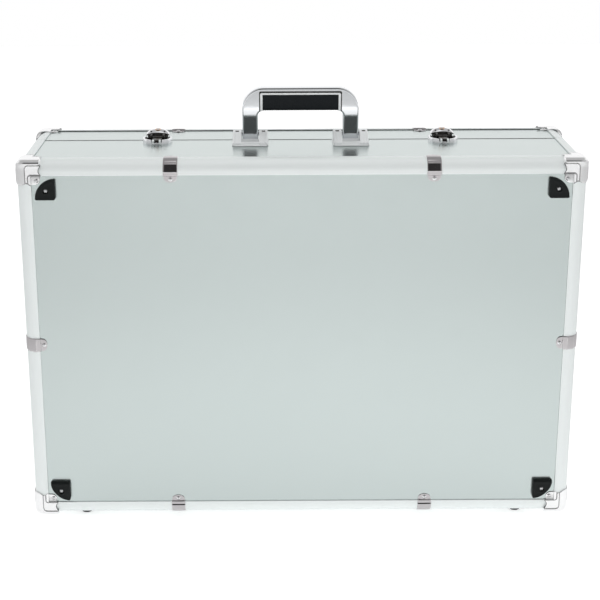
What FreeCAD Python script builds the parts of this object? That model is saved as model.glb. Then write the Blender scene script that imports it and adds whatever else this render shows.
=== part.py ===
import FreeCAD, Part

import math
import os
from types import SimpleNamespace

import Sketcher

# Guitar pedal case, standing on its hinge side.
# The base's large face looks along -Y, the lid is at +Y and the handle is on top, at +Z.
# The origin lies under the middle of the case, on the surface that it stands on.

SIZES = [
    # The case as a whole
    ("case_width", 700.0, "outer width across the edge profiles"),
    ("case_height", 478.0, "outer height across the edge profiles"),
    ("base_depth", 119.5, "front face to the base's rim"),
    ("lid_depth", 74.5, "lid's rim to the lid's face"),
    ("seam_gap", 1.0, "gap between base and lid"),
    ("overrun", 2.0, "how far a cut runs past what it cuts"),
    ("running_clearance", 0.05, "between a pin and what turns on it"),
    # Laminated panels and extruded edge profiles
    ("panel_thick", 5.5, "laminated panel"),
    ("profile_leg", 19.0, "width of a profile on each face"),
    ("profile_lip", 1.5, "metal over the panel"),
    ("profile_radius", 16.0, "rounding of the outer edge"),
    ("profile_seat", 12.0, "outer face to the floor of the panel slot"),
    ("profile_flange", 1.2, "metal behind the panel"),
    # Rim of base and lid
    ("rim_thick", 1.2, "strip over the panel edges"),
    ("rim_leg", 10.0, "inner leg of the lid's rim strip"),
    ("tongue_clearance", 0.3, "tongue to the lid's profiles"),
    ("tongue_thick", 2.0, "tongue of the base's rim"),
    ("tongue_reach", 5.5, "tongue beyond the base"),
    ("tongue_root", 14.0, "tongue inside the base"),
    ("tongue_corner", 4.0, "cut-off corners of the tongue"),
    # Pressed corner caps and edge clips
    ("sheet_thick", 1.0, "pressed sheet of caps and clips"),
    ("cap_reach", 30.0, "cap along each edge"),
    ("cap_tab_end", 28.3, "far edges of a cap's rivet tab from the outer faces"),
    ("cap_tab_cut", 5.0, "cut-off corner of a cap's rivet tab"),
    ("clip_width", 18.5, "edge clip along its profile"),
    ("clip_tab", 9.0, "clip beyond the profile"),
    ("clip_tab_round", 5.0, "cut-off corners of a clip's tab"),
    ("clip_bend", 1.5, "length over which a tab steps down to the panel"),
    ("clip_place", 160.0, "clip centre from the middle of the case"),
    # Rubber feet on the base's face, feet on the hinge side
    ("rubber_size", 27.0, "radius of a quarter-round foot"),
    ("rubber_inset", 47.8, "foot's square corner from the outer faces"),
    ("rubber_proud", 6.0, "foot beyond the edge profiles"),
    ("rubber_corner", 2.0, "rounding of the foot's square corner"),
    ("rubber_screw_place", 12.0, "screw centre from the foot's straight sides"),
    ("rubber_hole_radius", 4.2, "screw recess"),
    ("rubber_hole_depth", 3.0, "screw recess"),
    ("rubber_screw_radius", 3.4, "screw head"),
    ("rubber_screw_height", 1.8, "screw head"),
    ("stand_height", 10.0, "case above the surface it stands on"),
    ("stand_radius", 9.0, "standing foot"),
    ("stand_place", 286.0, "standing foot from the middle"),
    ("stand_inset", 33.0, "standing foot from the outer face"),
    # Handle
    ("handle_width", 148.8, "handle across its legs"),
    ("handle_leg", 20.0, "width of a leg"),
    ("handle_thick", 20.0, "handle front to back"),
    ("handle_rise", 61.0, "pivot to the top of the handle"),
    ("handle_beam", 28.0, "height of the beam"),
    ("handle_bend", 27.0, "outer rounding of the handle"),
    ("handle_inner_bend", 9.0, "inner rounding of the handle"),
    ("handle_edge", 2.5, "bevel along the handle's edges"),
    ("handle_foot", 6.5, "leg below the pivot"),
    ("handle_pivot_rise", 10.5, "pivot above the wall"),
    ("handle_pivot_back", 12.0, "pivot before the middle of the seam"),
    ("handle_lean", 2.0, "middle of the bow behind the pivot"),
    ("leg_front", 6.5, "front of a leg from the pivot"),
    ("leg_back", 7.5, "back of a leg from the pivot"),
    ("leg_straight", 20.0, "straight part of a leg above the pivot"),
    ("handle_pin_radius", 2.5, "pivot pin"),
    ("grip_length", 94.0, "rubber grip"),
    ("grip_height", 19.5, "rubber grip"),
    ("grip_round", 6.0, "lower rounding of the grip"),
    ("bracket_width", 44.5, "handle bracket"),
    ("bracket_front", 27.0, "bracket before the pivot"),
    ("bracket_back", 10.0, "bracket behind the pivot"),
    ("bracket_slot", 22.5, "opening between the cheeks"),
    ("bracket_floor", 2.5, "floor of the bracket"),
    ("bracket_rim", 5.5, "front rim of the bracket"),
    ("bracket_rim_thick", 5.0, "front rim, front to back"),
    ("bracket_boss", 14.5, "top of the cheeks above the wall"),
    ("bracket_shoulder", 7.0, "length of the cheeks' top before the pivot"),
    ("bracket_corner", 4.0, "rounding of the bracket's front corners"),
    ("bracket_notch", 2.4, "screwdriver notch in a cheek's top"),
    ("bracket_notch_depth", 1.4, "screwdriver notch in a cheek's top"),
    # Latches
    ("latch_place", 184.5, "latch centre from the middle"),
    ("dish_back", 7.5, "dish centre before the middle of the seam"),
    ("dish_radius", 19.0, "latch dish"),
    ("dish_wall", 3.0, "ring of the dish"),
    ("dish_height", 5.5, "ring of the dish"),
    ("dish_floor", 1.2, "floor of the dish"),
    ("dish_edge", 1.0, "bevel of the ring"),
    ("dish_notch", 13.6, "finger notch in the ring"),
    ("dish_notch_depth", 9.5, "finger notch, inward from the dish's edge"),
    ("ear_place", 9.6, "inner face of the dish's ears from its centre"),
    ("ear_thick", 2.4, "ear of the dish"),
    ("ear_length", 3.8, "ear of the dish"),
    ("ear_height", 7.0, "ear above the wall"),
    ("lever_pivot_y", 5.0, "lever pin behind the dish centre"),
    ("lever_pivot_z", 4.2, "lever pin above the wall"),
    ("lever_pin_radius", 1.2, "lever pin"),
    ("lever_knuckle", 2.5, "lever's knuckle"),
    ("lever_width", 12.4, "lever"),
    ("lever_front", 16.0, "lever before the dish centre"),
    ("lever_thick", 2.0, "lever plate"),
    ("lever_top", 5.2, "lever's top above the wall"),
    ("prong_width", 3.0, "finger prong of the lever"),
    ("prong_reach", 5.0, "prong beyond the lever plate"),
    ("prong_drop", 1.1, "prong below the lever plate"),
    ("hasp_pivot_z", 5.6, "hasp pin above the wall"),
    ("hasp_pin_radius", 1.2, "hasp pin"),
    ("hasp_boss", 2.3, "eye of a hasp arm"),
    ("hasp_arm_gap", 0.4, "hasp arm beside the lever"),
    ("hasp_arm", 2.4, "hasp arm, sideways"),
    ("hasp_width", 23.0, "hasp plate"),
    ("hasp_start", 8.2, "front of the hasp plate behind the dish centre"),
    ("hasp_end", 23.0, "nose of the hasp behind the dish centre"),
    ("hasp_thick", 2.2, "hasp plate"),
    ("hasp_top", 13.2, "crown of the hasp above the wall"),
    ("hasp_shoulder", 8.4, "underside of the hasp's front edge above the wall"),
    ("hasp_clearance", 0.4, "hasp's nose above the keeper"),
    ("keeper_lip", 7.0, "keeper's catch above the wall"),
    ("keeper_lip_thick", 2.6, "keeper's catch, front to back"),
    ("keeper_front", 1.5, "keeper behind the lid's rim"),
    ("keeper_length", 15.0, "keeper plate"),
    ("keeper_width", 20.0, "keeper plate"),
    ("lock_radius", 4.6, "lock barrel"),
    ("lock_proud", 1.0, "lock barrel above the hasp"),
    ("lock_depth", 4.5, "lock barrel below the hasp's crown"),
    ("key_slot_width", 1.2, "key slot"),
    ("key_slot_length", 5.0, "key slot"),
    ("key_slot_depth", 1.5, "key slot"),
    # Hinges
    ("hinge_place", 200.0, "hinge from the middle of the case"),
    ("hinge_width", 50.0, "hinge along its pin"),
    ("hinge_leaf", 24.0, "leaf from the pin"),
    ("hinge_thick", 1.5, "leaf"),
    ("knuckle_radius", 3.5, "knuckle"),
    ("knuckle_length", 20.0, "the lid leaf's middle knuckle"),
    ("knuckle_gap", 0.3, "between neighbouring knuckles"),
    ("knuckle_drop", 0.1, "knuckles below the walls"),
    ("hinge_pin_radius", 1.6, "hinge pin"),
    # Inside
    ("board_thick", 9.0, "removable pedal board"),
    ("board_play", 4.0, "pedal board to the profiles inside"),
    ("carpet_thick", 3.0, "loop carpet on the board"),
    ("foam_thick", 30.0, "foam pad in the lid"),
    ("foam_play", 0.8, "foam pad to the profiles inside"),
]

# Shares and counts, which stay as they are when the lengths change
HASP_SLOPE_SHARE = 0.25
HASP_BEND_SHARE = 0.5
ARM_ROOT_SHARE = 0.25
EYE_FLAT_SHARE = math.tan(math.pi / 8)
SCREW_SIDES = 12
KNUCKLE_SIDES = 16
FOOT_SIDES = 24

# Two places closer than this are one place
TINY = 1e-4

doc = FreeCAD.newDocument("pedal_case")
sheet = doc.addObject("Spreadsheet::Sheet", "sizes")
for row, (name, value, note) in enumerate(SIZES, start=1):
    sheet.set("A%d" % row, name)
    sheet.set("B%d" % row, str(value))
    sheet.set("C%d" % row, note)
    sheet.setAlias("B%d" % row, name)
doc.recompute()


class Size:
    """A length that knows its value and its formula in the sheet's names."""

    def __init__(self, value, text):
        self.value = float(value)
        self.text = text

    def __add__(self, other):
        return join(self, "+", other)

    def __radd__(self, other):
        return join(other, "+", self)

    def __sub__(self, other):
        return join(self, "-", other)

    def __rsub__(self, other):
        return join(other, "-", self)

    def __mul__(self, other):
        return join(self, "*", other)

    def __rmul__(self, other):
        return join(other, "*", self)

    def __truediv__(self, other):
        return join(self, "/", other)

    def __neg__(self):
        return join(0, "-", self)


def as_size(number):
    """A plain number as a size, so that sums of both work."""
    if isinstance(number, Size):
        return number
    return Size(number, repr(number))


def join(left, sign, right):
    """The size that two sizes make with one sign of arithmetic."""
    left, right = as_size(left), as_size(right)
    results = {
        "+": left.value + right.value,
        "-": left.value - right.value,
        "*": left.value * right.value,
    }
    value = left.value / right.value if sign == "/" else results[sign]
    return Size(value, "(%s %s %s)" % (left.text, sign, right.text))


mm = SimpleNamespace(**{name: Size(sheet.get(name), "sizes." + name) for name, _, _ in SIZES})


def tie(thing, prop, size):
    """Binds one property to a size's formula."""
    thing.setExpression(prop, as_size(size).text)


# Places that many pieces share
LEFT = -mm.case_width / 2
RIGHT = mm.case_width / 2
BOTTOM = mm.stand_height
TOP = mm.stand_height + mm.case_height
MIDDLE_Z = BOTTOM + mm.case_height / 2
CASE_DEPTH = mm.base_depth + mm.seam_gap + mm.lid_depth
FRONT = -(CASE_DEPTH + mm.sheet_thick - mm.rubber_proud) / 2
BACK = FRONT + CASE_DEPTH
MIDDLE_Y = (FRONT + BACK) / 2
BASE_END = FRONT + mm.base_depth
LID_START = BASE_END + mm.seam_gap
SEAM = BASE_END + mm.seam_gap / 2
WALL_TOP = TOP - mm.profile_lip
WALL_BOTTOM = BOTTOM + mm.profile_lip
PANEL_BACK = mm.profile_lip + mm.panel_thick
INSIDE = PANEL_BACK + mm.profile_flange

X_AXIS = FreeCAD.Vector(1, 0, 0)
Y_AXIS = FreeCAD.Vector(0, 1, 0)
Z_AXIS = FreeCAD.Vector(0, 0, 1)


def new_name(stem):
    """An object name that isn't taken yet."""
    count = len([thing for thing in doc.Objects if thing.Name.startswith(stem)])
    return "%s_%d" % (stem, count + 1)


def box(label, low, high):
    """A board from its lowest to its highest corner."""
    board = doc.addObject("Part::Box", new_name("board"))
    board.Label = label
    for prop, start, end in zip(("Length", "Width", "Height"), low, high):
        tie(board, prop, as_size(end) - start)
    for axis, start in zip("xyz", low):
        tie(board, "Placement.Base." + axis, start)
    return board


def stood_up(bar, label, base, length, direction):
    """Gives a bar its label, its length, its direction and the middle of its first end."""
    bar.Label = label
    tie(bar, "Height", length)
    bar.Placement.Rotation = FreeCAD.Rotation(Z_AXIS, FreeCAD.Vector(*direction))
    for axis, start in zip("xyz", base):
        tie(bar, "Placement.Base." + axis, start)
    return bar


def cylinder(label, base, radius, length, direction):
    """A round bar."""
    bar = doc.addObject("Part::Cylinder", new_name("bar"))
    tie(bar, "Radius", radius)
    return stood_up(bar, label, base, length, direction)


def prism(label, base, radius, length, direction, sides):
    """A bar with flat sides; the radius reaches its corners."""
    bar = doc.addObject("Part::Prism", new_name("prism"))
    bar.Polygon = sides
    tie(bar, "Circumradius", radius)
    return stood_up(bar, label, base, length, direction)


def cut(label, base, tool):
    """The base without the tool."""
    result = doc.addObject("Part::Cut", new_name("cut"))
    result.Label = label
    result.Base = base
    result.Tool = tool
    return result


def fuse(label, pieces):
    """One solid of several."""
    result = doc.addObject("Part::MultiFuse", new_name("union"))
    result.Label = label
    result.Shapes = pieces
    return result


def group(label, pieces):
    """Separate solids that share one node."""
    result = doc.addObject("Part::Compound", new_name("group"))
    result.Label = label
    result.Links = pieces
    return result


def mirrored(label, source, axis, place=0):
    """A piece seen in a mirror that stands across one axis."""
    result = doc.addObject("Part::Mirroring", new_name("mirror"))
    result.Label = label
    result.Source = source
    result.Normal = {"x": X_AXIS, "y": Y_AXIS, "z": Z_AXIS}[axis]
    tie(result, "Base." + axis, place)
    return result


def sketch_on(body, role, offset=0):
    """A sketch on one of the body's own planes, moved along the plane's normal."""
    sketch = body.newObject("Sketcher::SketchObject", new_name("sketch"))
    plane = [feature for feature in body.Origin.OriginFeatures if feature.Role == role][0]
    sketch.AttachmentSupport = (plane, [""])
    sketch.MapMode = "FlatFace"
    tie(sketch, "AttachmentOffset.Base.z", offset)
    return sketch


def fix_point(sketch, element, position, x=None, y=None):
    """Holds a point of the sketch at its distances from the sketch's origin."""
    for kind, axis_line, size in (("DistanceX", -2, x), ("DistanceY", -1, y)):
        if size is None:
            continue
        size = as_size(size)
        if size.text == "0":
            sketch.addConstraint(Sketcher.Constraint("PointOnObject", element, position, axis_line))
            continue
        index = sketch.addConstraint(
            Sketcher.Constraint(kind, -1, 1, element, position, size.value))
        sketch.setExpression("Constraints[%d]" % index, size.text)


def outline(sketch, points):
    """A closed outline of lines and arcs.

    A point is (x, y). An arc of less than half a turn arrives at (x, y, centre_x, centre_y).
    """
    ends = []
    start = points[-1]
    for point in points:
        x0, y0 = (as_size(number).value for number in start[:2])
        x1, y1 = (as_size(number).value for number in point[:2])
        if len(point) == 2:
            element = sketch.addGeometry(
                Part.LineSegment(FreeCAD.Vector(x0, y0, 0), FreeCAD.Vector(x1, y1, 0)))
            ends.append((element, 1, 2))
        else:
            cx, cy = (as_size(number).value for number in point[2:])
            radius = math.hypot(x1 - cx, y1 - cy)
            circle = Part.Circle(FreeCAD.Vector(cx, cy, 0), Z_AXIS, radius)
            turn_start = math.atan2(y0 - cy, x0 - cx)
            turn_end = math.atan2(y1 - cy, x1 - cx)
            left_turn = (x1 - x0) * (cy - y0) - (y1 - y0) * (cx - x0) > 0
            if left_turn:
                element = sketch.addGeometry(Part.ArcOfCircle(circle, turn_start, turn_end))
                ends.append((element, 1, 2))
            else:
                element = sketch.addGeometry(Part.ArcOfCircle(circle, turn_end, turn_start))
                ends.append((element, 2, 1))
            if abs(x1 - x0) >= abs(y1 - y0):
                fix_point(sketch, element, 3, y=point[3])
            else:
                fix_point(sketch, element, 3, x=point[2])
        start = point
    for (element, first, _), (before, _, last) in zip(ends, ends[-1:] + ends[:-1]):
        sketch.addConstraint(Sketcher.Constraint("Coincident", before, last, element, first))
    for (element, _, last), point in zip(ends, points):
        fix_point(sketch, element, last, point[0], point[1])


def ring(sketch, x, y, radius):
    """A full circle."""
    x, y, radius = as_size(x), as_size(y), as_size(radius)
    circle = Part.Circle(FreeCAD.Vector(x.value, y.value, 0), Z_AXIS, radius.value)
    element = sketch.addGeometry(circle)
    fix_point(sketch, element, 3, x, y)
    index = sketch.addConstraint(Sketcher.Constraint("Radius", element, radius.value))
    sketch.setExpression("Constraints[%d]" % index, radius.text)


def rectangle(x0, y0, x1, y1):
    """Four corners of an upright rectangle."""
    return [(x0, y0), (x1, y0), (x1, y1), (x0, y1)]


def bevelled_rectangle(x0, y0, x1, y1, bevel):
    """An upright rectangle with its corners cut off."""
    return [
        (x1 - bevel, y0), (x1, y0 + bevel), (x1, y1 - bevel), (x1 - bevel, y1),
        (x0 + bevel, y1), (x0, y1 - bevel), (x0, y0 + bevel), (x0 + bevel, y0),
    ]


def even_sided(x, y, radius, sides):
    """The corners of a polygon with equal sides round a centre."""
    turns = [2 * math.pi * count / sides for count in range(sides)]
    return [(x + radius * math.cos(turn), y + radius * math.sin(turn)) for turn in turns]


def new_body(label):
    """A body with the label of its sub-part."""
    body = doc.addObject("PartDesign::Body", new_name("body"))
    body.Label = label
    return body


def pad(body, sketch, length, both_ways=False, backwards=False):
    """Material along the sketch's normal, against it, or half of it each way."""
    feature = body.newObject("PartDesign::Pad", new_name("pad"))
    feature.Profile = sketch
    feature.SideType = "Symmetric" if both_ways else "One side"
    feature.Reversed = backwards
    tie(feature, "Length", length)
    return feature


def pocket(body, sketch, length, both_ways=False):
    """A cut against the sketch's normal, or half of it each way."""
    feature = body.newObject("PartDesign::Pocket", new_name("pocket"))
    feature.Profile = sketch
    feature.SideType = "Symmetric" if both_ways else "One side"
    tie(feature, "Length", length)
    return feature


def fillet(body, base, chosen, radius):
    """Rounds the edges of the base feature that the test chooses."""
    doc.recompute()
    names = ["Edge%d" % (count + 1) for count, edge in enumerate(base.Shape.Edges) if chosen(edge)]
    feature = body.newObject("PartDesign::Fillet", new_name("round"))
    feature.Base = (base, names)
    tie(feature, "Radius", radius)
    return feature


def chamfer(body, base, chosen, size):
    """Bevels the edges of the base feature that the test chooses."""
    doc.recompute()
    names = ["Edge%d" % (count + 1) for count, edge in enumerate(base.Shape.Edges) if chosen(edge)]
    feature = body.newObject("PartDesign::Chamfer", new_name("bevel"))
    feature.Base = (base, names)
    tie(feature, "Size", size)
    return feature


def runs_along(edge, axis):
    """Whether a straight edge runs along an axis."""
    if edge.Curve.TypeId != "Part::GeomLine":
        return False
    return abs(abs(edge.tangentAt(edge.FirstParameter).dot(axis)) - 1) < TINY


def at(value, place):
    """Whether a coordinate is at a place."""
    return abs(value - as_size(place).value) < TINY


# Edge profiles
# The section is an angle with a rounded outside and one slot for each panel.


def profile_section(place):
    """The profile's section; place turns two distances from the outer faces into a point."""
    leg, lip, radius = mm.profile_leg, mm.profile_lip, mm.profile_radius
    seat = mm.profile_seat
    return [
        place(leg, 0),
        place(radius, 0),
        place(0, radius) + place(radius, radius),
        place(0, leg),
        place(lip, leg),
        place(lip, seat),
        place(PANEL_BACK, seat),
        place(PANEL_BACK, leg),
        place(INSIDE, leg),
        place(INSIDE, INSIDE),
        place(leg, INSIDE),
        place(leg, PANEL_BACK),
        place(seat, PANEL_BACK),
        place(seat, lip),
        place(leg, lip),
    ]


def top_profile():
    """Runs across the top of the base's face, mitred at both ends and cut back under the caps."""
    body = new_body("base_profile_top")
    sketch = sketch_on(body, "YZ_Plane")
    outline(sketch, profile_section(lambda a, b: (FRONT + a, TOP - b)))
    pad(body, sketch, mm.case_width, both_ways=True)
    mitres = sketch_on(body, "XZ_Plane")
    over = mm.overrun
    reach = mm.profile_leg + over
    relief = mm.profile_radius
    for side, edge in ((1, RIGHT), (-1, LEFT)):
        outline(mitres, [
            (edge + side * over, TOP + over),
            (edge + side * over, TOP - reach),
            (edge - side * reach, TOP - reach),
            (edge - side * relief, TOP - relief),
            (edge - side * relief, TOP + over),
        ])
    pocket(body, mitres, (CASE_DEPTH + over) * 2, both_ways=True)
    return body


def left_profile():
    """Runs up the left of the base's face, mitred at both ends and cut back under the caps."""
    body = new_body("base_profile_left")
    sketch = sketch_on(body, "XY_Plane", BOTTOM)
    outline(sketch, profile_section(lambda a, b: (LEFT + b, FRONT + a)))
    pad(body, sketch, mm.case_height)
    mitres = sketch_on(body, "XZ_Plane")
    over = mm.overrun
    reach = mm.profile_leg + over
    relief = mm.profile_radius
    for side, edge in ((1, TOP), (-1, BOTTOM)):
        outline(mitres, [
            (LEFT - over, edge + side * over),
            (LEFT + reach, edge + side * over),
            (LEFT + reach, edge - side * reach),
            (LEFT + relief, edge - side * relief),
            (LEFT - over, edge - side * relief),
        ])
    pocket(body, mitres, (CASE_DEPTH + over) * 2, both_ways=True)
    return body


def corner_profile(label, end, length):
    """Runs back from the corner of a face to the seam, at the top left."""
    body = new_body(label)
    sketch = sketch_on(body, "XZ_Plane", -end)
    outline(sketch, profile_section(lambda a, b: (LEFT + a, TOP - b)))
    pad(body, sketch, length)
    return body


nodes = []


def keep(*pieces):
    """Puts pieces on the list of sub-parts."""
    nodes.extend(pieces)


def four_corners(stem, master):
    """The master at the top left and its mirror images at the other three corners."""
    right = mirrored(stem + "_top_right", master, "x")
    low_left = mirrored(stem + "_bottom_left", master, "z", MIDDLE_Z)
    low_right = mirrored(stem + "_bottom_right", low_left, "x")
    return [master, right, low_left, low_right]


base_top = top_profile()
base_left = left_profile()
base_bottom = mirrored("base_profile_bottom", base_top, "z", MIDDLE_Z)
base_right = mirrored("base_profile_right", base_left, "x")
keep(base_top, base_bottom, base_left, base_right)
for source, name in ((base_top, "top"), (base_bottom, "bottom"), (base_left, "left"), (base_right, "right")):
    keep(mirrored("lid_profile_" + name, source, "y", MIDDLE_Y))

base_corner = corner_profile(
    "base_corner_profile_top_left", BASE_END, mm.base_depth - mm.profile_leg)
keep(*four_corners("base_corner_profile", base_corner))
lid_corner = corner_profile(
    "lid_corner_profile_top_left", BACK - mm.profile_leg, mm.lid_depth - mm.profile_leg)
keep(*four_corners("lid_corner_profile", lid_corner))


# Panels, which sit in the profiles' slots


def face_panel(label, front, back):
    """The large panel of base or lid."""
    seat = mm.profile_seat
    return box(label, (LEFT + seat, front, BOTTOM + seat), (RIGHT - seat, back, TOP - seat))


def wall_panels(stem, start, end):
    """The four side walls of base or lid, from one depth to another."""
    seat, lip = mm.profile_seat, mm.profile_lip
    top = box(stem + "_wall_top", (LEFT + seat, start, TOP - PANEL_BACK), (RIGHT - seat, end, TOP - lip))
    left = box(stem + "_wall_left", (LEFT + lip, start, BOTTOM + seat), (LEFT + PANEL_BACK, end, TOP - seat))
    bottom = mirrored(stem + "_wall_bottom", top, "z", MIDDLE_Z)
    right = mirrored(stem + "_wall_right", left, "x")
    return [top, bottom, left, right]


keep(face_panel("base_panel", FRONT + mm.profile_lip, FRONT + PANEL_BACK))
keep(face_panel("lid_panel", BACK - PANEL_BACK, BACK - mm.profile_lip))
keep(*wall_panels("base", FRONT + mm.profile_seat, BASE_END - mm.rim_thick))
keep(*wall_panels("lid", LID_START + mm.rim_thick, BACK - mm.profile_seat))


# Rims: the base's rim has strips over the panel edges and a tongue that enters the lid


def edge_strips(start, end, depth):
    """Four strips over the panel edges, between the corner profiles."""
    leg, lip = mm.profile_leg, mm.profile_lip
    top = box("rim_strip", (LEFT + leg, start, TOP - depth), (RIGHT - leg, end, TOP - lip))
    left = box("rim_strip", (LEFT + lip, start, BOTTOM + leg), (LEFT + depth, end, TOP - leg))
    return [top, mirrored("rim_strip", top, "z", MIDDLE_Z), left, mirrored("rim_strip", left, "x")]


def base_rim():
    """Strips and tongue as one frame."""
    outer = INSIDE + mm.tongue_clearance
    inner = outer + mm.tongue_thick
    body = new_body("tongue")
    sketch = sketch_on(body, "XZ_Plane", -(BASE_END + mm.tongue_reach))
    outline(sketch, bevelled_rectangle(
        LEFT + outer, BOTTOM + outer, RIGHT - outer, TOP - outer, mm.tongue_corner))
    outline(sketch, bevelled_rectangle(
        LEFT + inner, BOTTOM + inner, RIGHT - inner, TOP - inner, mm.tongue_corner))
    pad(body, sketch, mm.tongue_reach + mm.tongue_root)
    strips = edge_strips(BASE_END - mm.rim_thick, BASE_END, outer + mm.tongue_thick / 2)
    return fuse("base_rim", [body] + strips)


def lid_rim():
    """Angle strips on the four edges of the lid, which the tongue slides behind."""
    strips = edge_strips(LID_START, LID_START + mm.rim_thick, INSIDE)
    leg, start, end = mm.profile_leg, LID_START, LID_START + mm.rim_leg
    top = box("rim_leg", (LEFT + leg, start, TOP - INSIDE), (RIGHT - leg, end, TOP - PANEL_BACK))
    left = box("rim_leg", (LEFT + PANEL_BACK, start, BOTTOM + leg), (LEFT + INSIDE, end, TOP - leg))
    legs = [top, mirrored("rim_leg", top, "z", MIDDLE_Z), left, mirrored("rim_leg", left, "x")]
    angles = [fuse("rim_angle", [strip, leg]) for strip, leg in zip(strips, legs)]
    return group("lid_rim", angles)


keep(base_rim(), lid_rim())


# Corner caps: a pressed shell round each corner, with a rivet tab on each of its three faces


def corner_block(grow, reach):
    """The case's rounded corner as a block, grown outward and reaching back by so much."""
    body = new_body("corner_block")
    x0, y0, z1 = LEFT - grow, FRONT - grow, TOP + grow
    x1, y1, z0 = LEFT + reach, FRONT + reach, TOP - reach
    sketch = sketch_on(body, "XZ_Plane", -y1)
    outline(sketch, rectangle(x0, z0, x1, z1))
    block = pad(body, sketch, y1 - y0)

    def outer_edge(edge):
        middle = edge.CenterOfMass
        return sum((at(middle.x, x0), at(middle.y, y0), at(middle.z, z1))) == 2

    body.Tip = fillet(body, block, outer_edge, mm.profile_radius + grow)
    return body


def corner_cap():
    """The pressed cap at the top left of the base's face: a shell with a window on each face."""
    reach, leg, over = mm.cap_reach, mm.profile_leg, mm.overrun
    shell = cut("cap_shell", corner_block(mm.sheet_thick, reach), corner_block(0, reach + over))
    x1, y1, z0 = LEFT + reach + over, FRONT + reach + over, TOP - reach - over
    windows = [
        box("cap_window", (LEFT + leg, FRONT - over, z0), (x1, y1, TOP - leg)),
        box("cap_window", (LEFT + leg, FRONT + leg, z0), (x1, y1, TOP + over)),
        box("cap_window", (LEFT - over, FRONT + leg, z0), (x1, y1, TOP - leg)),
    ]
    return cut("cap_shell", shell, fuse("cap_windows", windows))


def cap_tab(role, offset, place, backwards=False):
    """A rivet tab on a panel, in the crook of the cap's legs, with the step up to the legs.

    The role and the offset give the panel's plane. Place turns two distances from the outer
    faces into a point of it.
    """
    body = new_body("cap_tab")
    leg, end, bend = mm.profile_leg, mm.cap_tab_end, mm.cap_tab_end - mm.cap_tab_cut
    step = leg + mm.sheet_thick
    plate = sketch_on(body, role, offset)
    outline(plate, [place(leg, leg), place(end, leg), place(end, bend), place(bend, end), place(leg, end)])
    pad(body, plate, mm.sheet_thick, backwards=backwards)
    rise = sketch_on(body, role, offset)
    outline(rise, [
        place(leg, leg), place(end, leg), place(end, step),
        place(step, step), place(step, end), place(leg, end)])
    body.Tip = pad(body, rise, mm.sheet_thick + mm.profile_lip, backwards=backwards)
    return body


def cap_tabs():
    """The cap's rivet tabs on the face, on the top and on the left wall."""
    lip = mm.profile_lip
    return [
        cap_tab("XZ_Plane", -(FRONT + lip), lambda a, b: (LEFT + a, TOP - b)),
        cap_tab("XY_Plane", WALL_TOP, lambda a, b: (LEFT + a, FRONT + b)),
        cap_tab("YZ_Plane", LEFT + lip, lambda a, b: (FRONT + a, TOP - b), backwards=True),
    ]


def clip_section(place):
    """A clip's section round the profile, with both tabs stepped down to the panels."""
    leg, lip, radius, sheet_thick = mm.profile_leg, mm.profile_lip, mm.profile_radius, mm.sheet_thick
    end = leg + mm.clip_tab
    low = leg + mm.clip_bend
    floor = lip - sheet_thick
    return [
        place(end, lip),
        place(leg, lip),
        place(leg, 0),
        place(radius, 0),
        place(0, radius) + place(radius, radius),
        place(0, leg),
        place(lip, leg),
        place(lip, end),
        place(floor, end),
        place(floor, low),
        place(-sheet_thick, leg),
        place(-sheet_thick, radius),
        place(radius, -sheet_thick) + place(radius, radius),
        place(leg, -sheet_thick),
        place(low, floor),
        place(end, floor),
    ]


def trimmed_clip(body, strip, across):
    """The strip with its tabs' corners cut off; across tells the edges through the sheet."""
    body.Tip = chamfer(body, strip, across, mm.clip_tab_round)
    return body


def top_clip():
    """The clip on the top edge of the base's face, right of the middle."""
    body = new_body("clip")
    end = mm.profile_leg + mm.clip_tab
    sketch = sketch_on(body, "YZ_Plane", mm.clip_place - mm.clip_width / 2)
    outline(sketch, clip_section(lambda a, b: (FRONT + a, TOP - b)))
    strip = pad(body, sketch, mm.clip_width)

    def tab_corner(edge):
        middle = edge.CenterOfMass
        on_face = runs_along(edge, Y_AXIS) and at(middle.z, TOP - end)
        on_wall = runs_along(edge, Z_AXIS) and at(middle.y, FRONT + end)
        return on_face or on_wall

    return trimmed_clip(body, strip, tab_corner)


def side_clip():
    """The clip on the left edge of the base's face, at half height."""
    body = new_body("clip")
    end = mm.profile_leg + mm.clip_tab
    sketch = sketch_on(body, "XY_Plane", MIDDLE_Z - mm.clip_width / 2)
    outline(sketch, clip_section(lambda a, b: (LEFT + b, FRONT + a)))
    strip = pad(body, sketch, mm.clip_width)

    def tab_corner(edge):
        middle = edge.CenterOfMass
        on_face = runs_along(edge, Y_AXIS) and at(middle.x, LEFT + end)
        on_wall = runs_along(edge, X_AXIS) and at(middle.y, FRONT + end)
        return on_face or on_wall

    return trimmed_clip(body, strip, tab_corner)


cap = fuse("corner_cap", [corner_cap()] + cap_tabs())
base_caps = group("base_corner_caps", four_corners("corner_cap", cap))
keep(base_caps, mirrored("lid_corner_caps", base_caps, "y", MIDDLE_Y))

upper_clip = top_clip()
middle_clip = side_clip()
base_clips = group(
    "base_clips",
    four_corners("clip", upper_clip) + [middle_clip, mirrored("clip", middle_clip, "x")])
keep(base_clips, mirrored("lid_clips", base_clips, "y", MIDDLE_Y))


# Feet


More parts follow.
